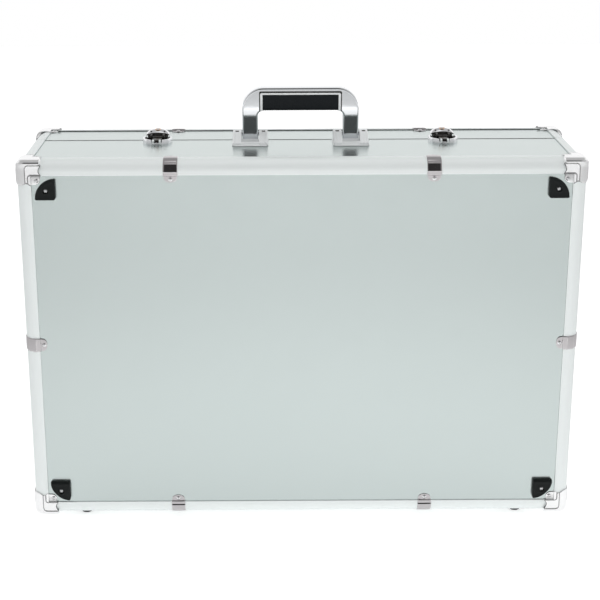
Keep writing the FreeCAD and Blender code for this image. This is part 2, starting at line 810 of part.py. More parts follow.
def rubber_foot():
    """A quarter-round foot at the top left of the base's face, with its screw recess."""
    body = new_body("rubber_foot")
    size = mm.rubber_size
    x, z = LEFT + mm.rubber_inset, TOP - mm.rubber_inset
    corner = mm.rubber_corner
    sketch = sketch_on(body, "XZ_Plane", -(FRONT + mm.profile_lip))
    outline(sketch, [
        (x - corner, z),
        (x, z + corner, x - corner, z + corner),
        (x, z + size),
        (x - size, z, x, z),
    ])
    block = pad(body, sketch, mm.rubber_proud + mm.profile_lip)
    recess = sketch_on(body, "XZ_Plane", -(FRONT - mm.rubber_proud))
    screw_x, screw_z = x - mm.rubber_screw_place, z + mm.rubber_screw_place
    outline(recess, even_sided(screw_x, screw_z, mm.rubber_hole_radius, SCREW_SIDES))
    hole = pocket(body, recess, mm.rubber_hole_depth)
    body.Tip = hole
    return body


def rubber_screw():
    """The screw head at the bottom of the foot's recess."""
    x = LEFT + mm.rubber_inset - mm.rubber_screw_place
    z = TOP - mm.rubber_inset + mm.rubber_screw_place
    seat = FRONT - mm.rubber_proud + mm.rubber_hole_depth
    return prism(
        "screw", (x, seat, z), mm.rubber_screw_radius, mm.rubber_screw_height, (0, -1, 0), SCREW_SIDES)


keep(group("rubber_feet", four_corners("rubber_foot", rubber_foot())))
keep(group("rubber_foot_screws", four_corners("screw", rubber_screw())))

stand = prism(
    "stand_foot", (mm.stand_place, FRONT + mm.stand_inset, 0), mm.stand_radius, WALL_BOTTOM, (0, 0, 1),
    FOOT_SIDES)
base_stands = group("base_stand_feet", [stand, mirrored("stand_foot", stand, "x")])
keep(base_stands, mirrored("lid_stand_feet", base_stands, "y", MIDDLE_Y))


# Handle: a bow that folds forward on a pin in each of its two brackets

PIVOT_Y = SEAM - mm.handle_pivot_back
PIVOT_Z = WALL_TOP + mm.handle_pivot_rise
BOW_Y = PIVOT_Y + mm.handle_lean
LEG_MIDDLE = mm.handle_width / 2 - mm.handle_leg / 2


def handle_frame():
    """The bow with its slimmer legs, its pin holes and the seat of the grip."""
    body = new_body("handle_frame")
    half = mm.handle_width / 2
    inner = half - mm.handle_leg
    foot, top = PIVOT_Z - mm.handle_foot, PIVOT_Z + mm.handle_rise
    under, half_beam = top - mm.handle_beam, mm.handle_beam / 2
    bend, small = mm.handle_bend, mm.handle_inner_bend
    over, half_thick = mm.overrun, mm.handle_thick / 2
    sketch = sketch_on(body, "XZ_Plane", -BOW_Y)
    outline(sketch, [
        (half, foot),
        (half, top - bend),
        (half - bend, top, half - bend, top - bend),
        (-half + bend, top),
        (-half, top - bend, -half + bend, top - bend),
        (-half, foot),
        (-inner, foot),
        (-inner, under - small),
        (-inner + small, under, -inner + small, under - small),
        (inner - small, under),
        (inner, under - small, inner - small, under - small),
        (inner, foot),
    ])
    bow = pad(body, sketch, mm.handle_thick, both_ways=True)
    body.Tip = bow

    def rim_edge(edge):
        middle = edge.CenterOfMass
        on_face = at(abs(middle.y - BOW_Y.value), half_thick)
        outside = at(abs(middle.x), half) or middle.z > top.value - half_beam.value
        return on_face and outside

    edges = chamfer(body, bow, rim_edge, mm.handle_edge)
    body.Tip = edges
    straight = PIVOT_Z + mm.leg_straight
    slim = sketch_on(body, "YZ_Plane")
    outline(slim, [
        (BOW_Y - half_thick - over, foot - over),
        (PIVOT_Y - mm.leg_front, foot - over),
        (PIVOT_Y - mm.leg_front, straight),
        (BOW_Y - half_thick, under),
        (BOW_Y - half_thick - over, under),
    ])
    outline(slim, [
        (BOW_Y + half_thick + over, foot - over),
        (PIVOT_Y + mm.leg_back, foot - over),
        (PIVOT_Y + mm.leg_back, straight),
        (BOW_Y + half_thick, under),
        (BOW_Y + half_thick + over, under),
    ])
    legs = pocket(body, slim, mm.handle_width + over * 2, both_ways=True)
    body.Tip = legs

    def foot_edge(edge):
        return runs_along(edge, X_AXIS) and at(edge.CenterOfMass.z, foot)

    feet = fillet(body, legs, foot_edge, mm.handle_foot)
    body.Tip = feet
    seat = sketch_on(body, "XZ_Plane", -BOW_Y)
    half_grip = mm.grip_length / 2
    outline(seat, rectangle(-half_grip, under - over, half_grip, under + mm.grip_height))
    body.Tip = pocket(body, seat, mm.handle_thick + over * 2, both_ways=True)
    bores = sketch_on(body, "YZ_Plane")
    ring(bores, PIVOT_Y, PIVOT_Z, mm.handle_pin_radius + mm.running_clearance)
    body.Tip = pocket(body, bores, mm.handle_width + over, both_ways=True)
    return body


def handle_grip():
    """The rubber grip that fills the seat under the bow."""
    body = new_body("handle_grip")
    under = PIVOT_Z + mm.handle_rise - mm.handle_beam
    half, turn = mm.handle_thick / 2, mm.grip_round
    sketch = sketch_on(body, "YZ_Plane")
    outline(sketch, [
        (BOW_Y + half, under + mm.grip_height),
        (BOW_Y - half, under + mm.grip_height),
        (BOW_Y - half, under + turn),
        (BOW_Y - half + turn, under, BOW_Y - half + turn, under + turn),
        (BOW_Y + half - turn, under),
        (BOW_Y + half, under + turn, BOW_Y + half - turn, under + turn),
    ])
    body.Tip = pad(body, sketch, mm.grip_length, both_ways=True)
    return body


def handle_bracket():
    """The right bracket: a floor, a low front rim and two cheeks that carry the pin."""
    body = new_body("handle_bracket_right")
    start, end = PIVOT_Y - mm.bracket_front, PIVOT_Y + mm.bracket_back
    low, top = WALL_TOP, WALL_TOP + mm.bracket_boss
    rim = WALL_TOP + mm.bracket_rim
    sketch = sketch_on(body, "YZ_Plane", LEG_MIDDLE - mm.bracket_width / 2)
    outline(sketch, [
        (start, low),
        (end, low),
        (end, top),
        (PIVOT_Y - mm.bracket_shoulder, top),
        (start + mm.bracket_rim_thick, rim),
        (start, rim),
    ])
    block = pad(body, sketch, mm.bracket_width)
    body.Tip = block

    def front_corner(edge):
        return runs_along(edge, Z_AXIS) and at(edge.CenterOfMass.y, start)

    corners = fillet(body, block, front_corner, mm.bracket_corner)
    body.Tip = corners
    opening = sketch_on(body, "XY_Plane", top + mm.overrun)
    outline(opening, rectangle(
        LEG_MIDDLE - mm.bracket_slot / 2, start + mm.bracket_rim_thick,
        LEG_MIDDLE + mm.bracket_slot / 2, end + mm.overrun))
    slot = pocket(body, opening, mm.bracket_boss + mm.overrun - mm.bracket_floor)
    body.Tip = slot
    notches = sketch_on(body, "YZ_Plane", LEG_MIDDLE)
    outline(notches, rectangle(
        PIVOT_Y - mm.bracket_notch / 2, top - mm.bracket_notch_depth,
        PIVOT_Y + mm.bracket_notch / 2, top + mm.overrun))
    notch = pocket(body, notches, mm.bracket_width + mm.overrun, both_ways=True)
    body.Tip = notch
    bore = sketch_on(body, "YZ_Plane", LEG_MIDDLE)
    ring(bore, PIVOT_Y, PIVOT_Z, mm.handle_pin_radius)
    body.Tip = pocket(body, bore, mm.bracket_width + mm.overrun, both_ways=True)
    return body


handle = handle_frame()
bracket = handle_bracket()
pin = cylinder("handle_pin", (LEG_MIDDLE - mm.bracket_width / 2, PIVOT_Y, PIVOT_Z), mm.handle_pin_radius,
               mm.bracket_width, (1, 0, 0))
keep(handle, handle_grip())
keep(bracket, mirrored("handle_bracket_left", bracket, "x"))
keep(group("handle_pins", [pin, mirrored("handle_pin", pin, "x")]))


# Latches: a dish on the base carries a lever, the lever carries a hasp that reaches over
# the seam to a keeper on the lid. All are drawn for the right latch and mirrored.

DISH_Y = SEAM - mm.dish_back


def latch_dish():
    """A round dish, cut straight at the seam, with a finger notch and two ears for the pin."""
    body = new_body("latch_dish_right")
    sketch = sketch_on(body, "XY_Plane", WALL_TOP)
    ring(sketch, mm.latch_place, DISH_Y, mm.dish_radius)
    disc = pad(body, sketch, mm.dish_height)
    body.Tip = disc

    def upper_edge(edge):
        return at(edge.CenterOfMass.z, WALL_TOP + mm.dish_height)

    rounded = chamfer(body, disc, upper_edge, mm.dish_edge)
    body.Tip = rounded
    hollow = sketch_on(body, "XY_Plane", WALL_TOP + mm.dish_height)
    ring(hollow, mm.latch_place, DISH_Y, mm.dish_radius - mm.dish_wall)
    body.Tip = pocket(body, hollow, mm.dish_height - mm.dish_floor)
    straight = sketch_on(body, "XY_Plane", WALL_TOP + mm.dish_height + mm.overrun)
    reach = mm.dish_radius + mm.overrun
    outline(straight, rectangle(
        mm.latch_place - reach, BASE_END, mm.latch_place + reach, DISH_Y + reach))
    body.Tip = pocket(body, straight, mm.dish_height + mm.overrun * 2)
    notch = sketch_on(body, "XY_Plane", WALL_TOP + mm.dish_height + mm.overrun)
    outline(notch, rectangle(
        mm.latch_place - mm.dish_notch / 2, DISH_Y - reach,
        mm.latch_place + mm.dish_notch / 2, DISH_Y - mm.dish_radius + mm.dish_notch_depth))
    body.Tip = pocket(body, notch, mm.dish_height + mm.overrun - mm.dish_floor)
    pivot_y, pivot_z = DISH_Y + mm.lever_pivot_y, WALL_TOP + mm.lever_pivot_z
    for side in (1, -1):
        start = mm.latch_place + side * (mm.ear_place + mm.ear_thick / 2)
        ear = sketch_on(body, "YZ_Plane", start)
        half = mm.ear_length / 2
        outline(ear, rectangle(
            pivot_y - half, WALL_TOP, pivot_y + half, WALL_TOP + mm.ear_height))
        body.Tip = pad(body, ear, mm.ear_thick, both_ways=True)
    bore = sketch_on(body, "YZ_Plane", mm.latch_place)
    ring(bore, pivot_y, pivot_z, mm.lever_pin_radius)
    body.Tip = pocket(body, bore, (mm.ear_place + mm.ear_thick) * 2, both_ways=True)
    return body


def latch_lever():
    """The lever plate with its knuckle, two finger prongs and the hasp's pin."""
    pivot_y, pivot_z = DISH_Y + mm.lever_pivot_y, WALL_TOP + mm.lever_pivot_z
    top = WALL_TOP + mm.lever_top
    under = top - mm.lever_thick
    half = mm.lever_width / 2
    left, right = mm.latch_place - half, mm.latch_place + half
    front = DISH_Y - mm.lever_front
    plate = box("lever_plate", (left, front, under), (right, pivot_y, top))
    knuckle = prism(
        "lever_knuckle", (left, pivot_y, pivot_z), mm.lever_knuckle, mm.lever_width, (1, 0, 0),
        KNUCKLE_SIDES)
    web_top = WALL_TOP + mm.hasp_pivot_z + mm.hasp_pin_radius
    web = box(
        "lever_web", (left, DISH_Y - mm.hasp_boss, under), (right, DISH_Y + mm.hasp_boss, web_top))
    prongs = [
        box("lever_prong", (edge, front - mm.prong_reach, under - mm.prong_drop),
            (edge + mm.prong_width, front + mm.overrun, top))
        for edge in (left, right - mm.prong_width)
    ]
    reach = half + mm.hasp_arm_gap + mm.hasp_arm
    pin_bar = cylinder("hasp_pin", (mm.latch_place - reach, DISH_Y, WALL_TOP + mm.hasp_pivot_z),
                       mm.hasp_pin_radius, reach * 2, (1, 0, 0))
    solid = fuse("lever_block", [plate, knuckle, web, pin_bar] + prongs)
    bore = cylinder("lever_bore", (left - mm.overrun, pivot_y, pivot_z),
                    mm.lever_pin_radius + mm.running_clearance, mm.lever_width + mm.overrun * 2, (1, 0, 0))
    return cut("latch_lever_right", solid, bore)


def latch_hasp():
    """Two arms from the lever's pin to an arched plate whose nose lies over the keeper."""
    body = new_body("hasp_plate")
    pivot_z = WALL_TOP + mm.hasp_pivot_z
    start, end = DISH_Y + mm.hasp_start, DISH_Y + mm.hasp_end
    crown, thick = WALL_TOP + mm.hasp_top, mm.hasp_thick
    shoulder = WALL_TOP + mm.hasp_shoulder
    nose = WALL_TOP + mm.keeper_lip + mm.hasp_clearance
    slope, bend = (end - start) * HASP_SLOPE_SHARE, thick * HASP_BEND_SHARE
    sketch = sketch_on(body, "YZ_Plane", mm.latch_place)
    outline(sketch, [
        (start, shoulder),
        (start + slope, crown - thick),
        (end - slope, crown - thick),
        (end - thick, nose),
        (end, nose),
        (end, nose + thick),
        (end - slope + bend, crown),
        (start + slope - bend, crown),
        (start, shoulder + thick),
    ])
    body.Tip = pad(body, sketch, mm.hasp_width, both_ways=True)
    arms = []
    inner = mm.lever_width / 2 + mm.hasp_arm_gap
    for side in (1, -1):
        arm = new_body("hasp_arm")
        middle = mm.latch_place + side * (inner + mm.hasp_arm / 2)
        shape = sketch_on(arm, "YZ_Plane", middle)
        boss, flat = mm.hasp_boss, mm.hasp_boss * EYE_FLAT_SHARE
        outline(shape, [
            (DISH_Y + flat, pivot_z - boss),
            (DISH_Y + boss, pivot_z - flat),
            (start + thick, shoulder + thick * ARM_ROOT_SHARE),
            (start + thick, shoulder + thick),
            (DISH_Y - flat, pivot_z + boss),
            (DISH_Y - boss, pivot_z + flat),
            (DISH_Y - boss, pivot_z - flat),
            (DISH_Y - flat, pivot_z - boss),
        ])
        ring(shape, DISH_Y, pivot_z, mm.hasp_pin_radius + mm.running_clearance)
        arm.Tip = pad(arm, shape, mm.hasp_arm, both_ways=True)
        arms.append(arm)
    solid = fuse("hasp_block", [body] + arms)
    bore = cylinder("lock_bore", (mm.latch_place, (start + end) / 2, crown - mm.lock_depth), mm.lock_radius,
                    mm.lock_depth + mm.overrun, (0, 0, 1))
    return cut("latch_hasp_right", solid, bore)


def latch_lock():
    """The lock barrel in the crown of the hasp, with its key slot."""
    middle = DISH_Y + (mm.hasp_start + mm.hasp_end) / 2
    crown = WALL_TOP + mm.hasp_top
    barrel = cylinder("lock_barrel", (mm.latch_place, middle, crown - mm.lock_depth), mm.lock_radius,
                      mm.lock_depth + mm.lock_proud, (0, 0, 1))
    half_width, half_length = mm.key_slot_width / 2, mm.key_slot_length / 2
    floor = crown + mm.lock_proud - mm.key_slot_depth
    slot = box("key_slot", (mm.latch_place - half_width, middle - half_length, floor),
               (mm.latch_place + half_width, middle + half_length, crown + mm.lock_proud + mm.overrun))
    return cut("latch_lock_right", barrel, slot)


def latch_keeper():
    """The keeper on the lid: a plate with an upright catch under the hasp's nose."""
    body = new_body("latch_keeper_right")
    start = LID_START + mm.keeper_front
    end = start + mm.keeper_length
    lip_end = DISH_Y + mm.hasp_end
    floor = WALL_TOP + mm.dish_floor
    sketch = sketch_on(body, "YZ_Plane", mm.latch_place)
    outline(sketch, [
        (start, WALL_TOP),
        (end, WALL_TOP),
        (end, floor),
        (lip_end, floor),
        (lip_end, WALL_TOP + mm.keeper_lip),
        (lip_end - mm.keeper_lip_thick, WALL_TOP + mm.keeper_lip),
        (lip_end - mm.keeper_lip_thick, floor),
        (start, floor),
    ])
    body.Tip = pad(body, sketch, mm.keeper_width, both_ways=True)
    return body


for piece in (latch_dish(), latch_lever(), latch_hasp(), latch_lock(), latch_keeper()):
    keep(piece, mirrored(piece.Label.replace("right", "left"), piece, "x"))
lever_pin_half = mm.ear_place + mm.ear_thick
lever_pin = cylinder(
    "lever_pin",
    (mm.latch_place - lever_pin_half, DISH_Y + mm.lever_pivot_y, WALL_TOP + mm.lever_pivot_z),
    mm.lever_pin_radius, lever_pin_half * 2, (1, 0, 0))
keep(group("latch_pins", [lever_pin, mirrored("lever_pin", lever_pin, "x")]))


# Hinges under the case: the lid leaf has the middle knuckle, the base leaf has the outer two

HINGE_Z = WALL_BOTTOM - mm.knuckle_radius - mm.knuckle_drop


def knuckle(start, length):
    """One knuckle round the hinge pin."""
    return prism(
        "knuckle", (start, SEAM, HINGE_Z), mm.knuckle_radius, length, (1, 0, 0), KNUCKLE_SIDES)


def hinge_leaves(middle):
    """The base leaf, the lid leaf and the pin of one hinge."""
    half, inner, over = mm.hinge_width / 2, mm.knuckle_length / 2, mm.overrun
    outer = inner + mm.knuckle_gap
    left, right = middle - half, middle + half
    low, high = WALL_BOTTOM - mm.hinge_thick, WALL_BOTTOM
    room = mm.knuckle_radius + mm.running_clearance
    place = (left, SEAM, HINGE_Z)
    pin_piece = cylinder("hinge_pin", place, mm.hinge_pin_radius, mm.hinge_width, (1, 0, 0))
    loose_bore = cylinder(
        "pin_bore", place, mm.hinge_pin_radius + mm.running_clearance, mm.hinge_width, (1, 0, 0))
    base_plate = box("hinge_plate", (left, SEAM - mm.hinge_leaf, low), (right, SEAM, high))
    base_room = box("hinge_room", (middle - outer, SEAM - room, low - over),
                    (middle + outer, SEAM + over, high + over))
    base_solid = fuse("hinge_block", [
        cut("hinge_plate", base_plate, base_room),
        knuckle(left, half - outer),
        knuckle(middle + outer, half - outer)])
    lid_plate = box("hinge_plate", (left, SEAM, low), (right, SEAM + mm.hinge_leaf, high))
    side_rooms = [
        box("hinge_room", (start, SEAM - over, low - over), (end, SEAM + room, high + over))
        for start, end in ((left - over, middle - inner), (middle + inner, right + over))
    ]
    lid_solid = fuse("hinge_block", [
        cut("hinge_plate", lid_plate, group("hinge_rooms", side_rooms)),
        knuckle(middle - inner, mm.knuckle_length)])
    return cut("base_leaf", base_solid, pin_piece), cut("lid_leaf", lid_solid, loose_bore), pin_piece


hinges = [hinge_leaves(mm.hinge_place * side) for side in (-1, 1)]
keep(group("hinge_base_leaves", [hinge[0] for hinge in hinges]))
keep(group("hinge_lid_leaves", [hinge[1] for hinge in hinges]))
keep(group("hinge_pins", [hinge[2] for hinge in hinges]))


# Inside: a removable board with loop carpet in the base, a foam pad in the lid

play = INSIDE + mm.board_play
board_front = FRONT + INSIDE
keep(box("pedal_board", (LEFT + play, board_front, BOTTOM + play),
         (RIGHT - play, board_front + mm.board_thick, TOP - play)))
carpet_front = board_front + mm.board_thick
keep(box("pedal_board_carpet", (LEFT + play, carpet_front, BOTTOM + play),
         (RIGHT - play, carpet_front + mm.carpet_thick, TOP - play)))
room = INSIDE + mm.foam_play
keep(box("lid_foam_pad", (LEFT + room, BACK - INSIDE - mm.foam_thick, BOTTOM + room),
         (RIGHT - room, BACK - INSIDE, TOP - room)))

doc.recompute()

for thing in doc.Objects:
    bad = [word for word in thing.State if word in ("Invalid", "Error")]
    if bad:
        raise RuntimeError("%s (%s) is %s" % (thing.Label, thing.Name, ", ".join(bad)))

os.makedirs("parts", exist_ok=True)
for piece in nodes:
    shape = piece.Shape
    if shape.isNull() or not shape.isValid() or not shape.Solids:
        raise RuntimeError("%s has no valid solid" % piece.Label)
    shape.exportStep("parts/%s.step" % piece.Label)
print(len(nodes), "sub-parts")
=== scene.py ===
import math

import bpy
import numpy as np
from mathutils import Matrix, Vector
from mathutils.geometry import delaunay_2d_cdt


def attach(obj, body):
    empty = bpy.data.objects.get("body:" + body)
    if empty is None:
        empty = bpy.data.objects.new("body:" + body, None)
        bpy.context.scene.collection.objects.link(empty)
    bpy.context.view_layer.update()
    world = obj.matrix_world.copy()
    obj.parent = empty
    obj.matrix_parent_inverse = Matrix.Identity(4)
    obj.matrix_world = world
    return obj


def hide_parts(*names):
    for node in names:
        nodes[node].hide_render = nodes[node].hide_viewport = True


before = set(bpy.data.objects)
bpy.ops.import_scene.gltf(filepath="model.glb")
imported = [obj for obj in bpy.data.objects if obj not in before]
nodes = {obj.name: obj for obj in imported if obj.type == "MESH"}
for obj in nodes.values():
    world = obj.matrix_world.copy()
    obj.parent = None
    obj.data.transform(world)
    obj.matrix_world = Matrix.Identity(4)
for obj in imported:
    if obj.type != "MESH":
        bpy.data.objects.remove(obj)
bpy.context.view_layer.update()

# Guitar pedal case, closed, standing on its hinge side.
# All shapes below are in millimetres in the part's own frame, and become metres in the mesh.

LEFT, RIGHT, BOTTOM, TOP = -350.0, 350.0, 10.0, 488.0
FRONT, BACK, BASE_END, LID_START, SEAM = -95.0, 100.0, 24.5, 25.5, 25.0
MIDDLE_Y, MIDDLE_Z = 2.5, 249.0
WALL_TOP, WALL_BOTTOM = 486.5, 11.5
LEG, LIP, SEAT, PANEL_BACK, INSIDE = 19.0, 1.5, 12.0, 7.0, 8.2
PROFILE_RADIUS, SHEET = 16.0, 1.0


# Shapes: every shell is its points, its four-sided faces and its end faces


def smooth(x):
    """Rises from 0 to 1 over 0..1 as three times the square less twice the cube."""
    x = np.clip(x, 0.0, 1.0)
    return x * x * (3 - 2 * x)


def unit(v):
    """Vectors divided by their own length."""
    return v / np.maximum(np.linalg.norm(v, axis=-1, keepdims=True), 1e-12)


def around(count):
    """Equal angles round a circle."""
    return np.linspace(0, 2 * math.pi, count, endpoint=False)


def outward(points, quads, ends):
    """Turns a closed shell so that its volume, the sum of a third of each face's cone, is positive."""
    a, b, c, d = (points[quads[:, i]] for i in range(4))
    volume = (a * np.cross(b, c)).sum() + (a * np.cross(c, d)).sum()
    for end in ends:
        rim = points[end]
        volume += (rim[0] * np.cross(rim[1:-1], rim[2:]).sum(0)).sum()
    if volume < 0:
        return points, quads[:, ::-1], [end[::-1] for end in ends]
    return points, quads, ends


def skin(grid, closed_path=False):
    """Rings of points joined by four-sided faces; an open run of rings gets one face at each end."""
    rings, count = grid.shape[:2]
    index = np.arange(rings * count).reshape(rings, count)
    after = np.roll(index, -1, 0) if closed_path else index[1:]
    here = index if closed_path else index[:-1]
    quads = np.stack([here, np.roll(here, -1, 1), np.roll(after, -1, 1), after], -1).reshape(-1, 4)
    ends = [] if closed_path else [index[0, ::-1].copy(), index[-1].copy()]
    return outward(grid.reshape(-1, 3), quads, ends)


def stacked(x, y, z):
    """Three coordinates as points, numbers spread over arrays."""
    return np.stack(np.broadcast_arrays(x, y, z), -1).astype(float)


def cells(shape):
    """The four-sided faces between the neighbours in a grid of points."""
    index = np.arange(shape[0] * shape[1]).reshape(shape)
    return np.stack([index[:-1, :-1], index[1:, :-1], index[1:, 1:], index[:-1, 1:]], -1)


def closed(points, under, quads):
    """Two like skins as one shell: the second is turned over, and a wall stands on each free edge."""
    sides = np.concatenate([np.stack([quads[:, i], quads[:, (i + 1) % 4]], 1) for i in range(4)])
    _, first, count = np.unique(np.sort(sides, 1), axis=0, return_index=True, return_counts=True)
    start, end = sides[first[count == 1]].T
    size = len(points)
    walls = np.stack([end, start, start + size, end + size], 1)
    return outward(np.concatenate([points, under]), np.concatenate([quads, quads[:, ::-1] + size, walls]), [])


def sides_at(corners):
    """The directions of the sides that run into each corner of a polygon and out of it."""
    return unit(corners - np.roll(corners, 1, 0)), unit(np.roll(corners, -1, 0) - corners)


def shift_corners(corners, distance):
    """A polygon with every side moved inwards by the distance, corner by corner along the mitre."""
    into, out = sides_at(corners)
    area = (corners[:, 0] * np.roll(corners[:, 1], -1) - corners[:, 1] * np.roll(corners[:, 0], -1)).sum()
    sign = 1.0 if area > 0 else -1.0
    left_in = np.stack([-into[:, 1], into[:, 0]], 1) * sign
    left_out = np.stack([-out[:, 1], out[:, 0]], 1) * sign
    turn = 1 + (left_in * left_out).sum(1, keepdims=True)
    convex = sign * (into[:, 0] * out[:, 1] - into[:, 1] * out[:, 0]) > 0
    return corners + distance * (left_in + left_out) / turn, convex


def rounded(corners, radii, steps=6):
    """A polygon whose corners are arcs: each arc's centre lies on the corner's bisector, the radius over
    the cosine of half the turn away, and its points are equal steps of the turn."""
    corners = np.asarray(corners, float)
    radius = np.maximum(np.broadcast_to(np.asarray(radii, float), len(corners)), 0.04)[:, None]
    into, out = sides_at(corners)
    turn = np.arccos(np.clip((into * out).sum(1, keepdims=True), -1, 1))
    start = corners - into * radius * np.tan(turn / 2)
    end = corners + out * radius * np.tan(turn / 2)
    centre = corners + unit(out - into) * radius / np.cos(turn / 2)
    step = np.linspace(0, 1, steps)[None, :, None]
    phi = turn[:, None]
    arm = np.sin((1 - step) * phi) * (start - centre)[:, None] + np.sin(step * phi) * (end - centre)[:, None]
    return (centre[:, None] + arm / np.sin(phi)).reshape(-1, 2)


def split(outline, shares, index):
    """The outline with extra points: each lies the given share of the way along its side."""
    ahead = np.roll(outline, -1, 0)
    return outline[index] + shares[:, None] * (ahead - outline)[index]


def slab(corners, radii, place, low, high, rim=0.5, steps=6, rim_steps=4, reach=1e9, border=0.0):
    """A plate of one outline from low to high, its rims quarter rounds: near each face the outline is
    moved in by the rim's radius times one less the cosine of the angle from the side. Sides longer than
    the reach are split evenly, and a border adds a flat band round each face."""
    corners = np.asarray(corners, float)
    radii = np.broadcast_to(np.asarray(radii, float), len(corners))
    angle = np.linspace(math.pi / 2, 0, rim_steps)
    inset = rim * (1 - np.cos(angle))
    depth = rim * (1 - np.sin(angle))
    if border:
        inset, depth = np.append(rim + border, inset), np.append(0.0, depth)
    plain = rounded(corners, radii, steps)
    parts = np.maximum(1, np.ceil(np.linalg.norm(np.roll(plain, -1, 0) - plain, axis=1) / reach)).astype(int)
    index = np.repeat(np.arange(len(plain)), parts)
    shares = (np.arange(len(index)) - np.repeat(np.cumsum(parts) - parts, parts)) / np.repeat(parts, parts)
    rings = []
    for move, run in list(zip(inset, low + depth)) + list(zip(inset[::-1], high - depth[::-1])):
        moved, convex = shift_corners(corners, move)
        outline = split(rounded(moved, np.where(convex, radii - move, radii + move), steps), shares, index)
        rings.append(place(outline[:, 0], outline[:, 1], np.full(len(outline), run)))
    return skin(np.array(rings))


def turned(profile, centre, axis, count=32):
    """A profile of (radius, height) spun round an axis through a centre."""
    profile = np.asarray(profile, float)
    axis, centre = np.asarray(axis, float), np.asarray(centre, float)
    side = unit(np.cross(axis, [0.31, 0.87, 0.39]))
    angle = around(count)
    spoke = np.cos(angle)[:, None] * side + np.sin(angle)[:, None] * np.cross(axis, side)
    return skin(profile[:, 0, None, None] * spoke + profile[:, 1, None, None] * axis + centre)


def strap(path, up, side, width, thick, crown, edge=0.35):
    """A flat strip on a path: at each step its section lies across the side vector and below the up vector,
    and its top falls towards both edges by crown times the square of the share of the half width."""
    half = width[:, None] / 2
    flat = np.maximum(half - edge, half * 0.3)
    step = np.arange(15)
    share = np.array([1, .82, .55, .28, 0, -.28, -.55, -.82, -1, -1, -1, -.5, .5, 1, 1])
    drop = np.array([0] * 9 + [edge, thick - edge, thick, thick, thick - edge, edge])
    across = share * np.where(step < 9, flat, np.where((step == 11) | (step == 12), flat * 2, half))
    height = -drop - crown * np.where(step < 9, share ** 2, 0)
    return skin(path[:, None] + across[..., None] * side[:, None] + height[None, :, None] * up[:, None])


def flipped(shells, axis, place=0.0):
    """The shells' mirror image in a plane across one axis."""
    result = []
    for points, quads, ends in shells:
        points = points.copy()
        points[:, axis] = 2 * place - points[:, axis]
        result.append((points, quads[:, ::-1], [end[::-1] for end in ends]))
    return result


def both_sides(shells):
    """The shells and their mirror image left of the middle."""
    return shells + flipped(shells, 0)


def all_corners(shells):
    """The shells at the top left and their images at the other three corners."""
    upper = both_sides(shells)
    return upper + flipped(upper, 2, MIDDLE_Z)


def piece(name, shells, material, body, slot, node=None, sharp=34.0, mask=None):
    """One finished object from several shells, riding on its body and standing for its CAD node; a mask
    gives each point a share of painted shade, a dark colour that stands for the shadow in grooves."""
    offsets = np.cumsum([0] + [len(shell[0]) for shell in shells])
    points = np.concatenate([shell[0] for shell in shells]) * 0.001
    faces = []
    for offset, (_, quads, ends) in zip(offsets, shells):
        faces += (quads + offset).tolist()
        faces += [(end + offset).tolist() for end in ends]
    mesh = bpy.data.meshes.new(name)
    mesh.from_pydata(points.tolist(), [], faces)
    mesh.validate()
    mesh.shade_smooth()
    mesh.set_sharp_from_angle(angle=math.radians(sharp))
    if mask is not None:
        # Painted shade: the groove attribute holds each point's share of dark for shadowed grooves.
        painted_shade = mesh.attributes.new("groove", "FLOAT", "POINT")
        painted_shade.data.foreach_set("value", mask(points * 1000).astype(np.float32))
    mesh.materials.append(material)
    obj = bpy.data.objects.new(name, mesh)
    bpy.context.scene.collection.objects.link(obj)
    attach(obj, body)
    if node:
        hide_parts(node)
    return obj


def on_both_halves(name, shells, material, slot, node, **options):
    """A piece on the base and its image on the lid."""
    for half, made in (("base_", shells), ("lid_", flipped(shells, 1, MIDDLE_Y))):
        piece(half + name, made, material, half[:-1], slot, half + node, **options)


# Finishes: shared effects are node groups, and each material feeds their masks to its own shader


def feed(tree, socket, value):
    """Links another node's socket to this one, or sets this one's constant."""
    if isinstance(value, bpy.types.NodeSocket):
        tree.links.new(value, socket)
    else:
        socket.default_value = value


def add(tree, kind, inputs=None, **settings):
    """One shader node with its settings and its inputs, by name or by place."""
    node = tree.nodes.new("ShaderNode" + kind)
    for name, value in settings.items():
        setattr(node, name, value)
    for name, value in (inputs or {}).items():
        feed(tree, node.inputs[name], value)
    return node


def calc(tree, operation, *values, clamp=False):
    """The result of one arithmetic node on sockets and numbers."""
    return add(tree, "Math", dict(enumerate(values)), operation=operation, use_clamp=clamp).outputs[0]


def noise(tree, vector, scale, detail, rough):
    """Noise on a vector."""
    inputs = {"Vector": vector, "Scale": scale, "Detail": detail, "Roughness": rough}
    return add(tree, "TexNoise", inputs).outputs["Fac"]


def ramp(tree, value, low, high, to_low=0.0, to_high=1.0, **settings):
    """Maps low..high to another range, held at its ends."""
    inputs = {"Value": value, "From Min": low, "From Max": high, "To Min": to_low, "To Max": to_high}
    return add(tree, "MapRange", inputs, **settings).outputs[0]


def mixed(tree, factor, first, second, kind="RGBA"):
    """Two colours or two numbers mixed by a factor."""
    return add(tree, "Mix", {"Factor": factor, "A": first, "B": second}, data_type=kind).outputs["Result"]


def new_group(name, inputs, results):
    """An empty shader group, with its input and result sockets."""
    group = bpy.data.node_groups.new(name, "ShaderNodeTree")
    for label, kind, default in inputs:
        socket = group.interface.new_socket(label, in_out="INPUT", socket_type="NodeSocket" + kind)
        if default is not None:
            socket.default_value = default
    for label in results:
        group.interface.new_socket(label, in_out="OUTPUT", socket_type="NodeSocketFloat")
    return group, group.nodes.new("NodeGroupInput").outputs, group.nodes.new("NodeGroupOutput").inputs


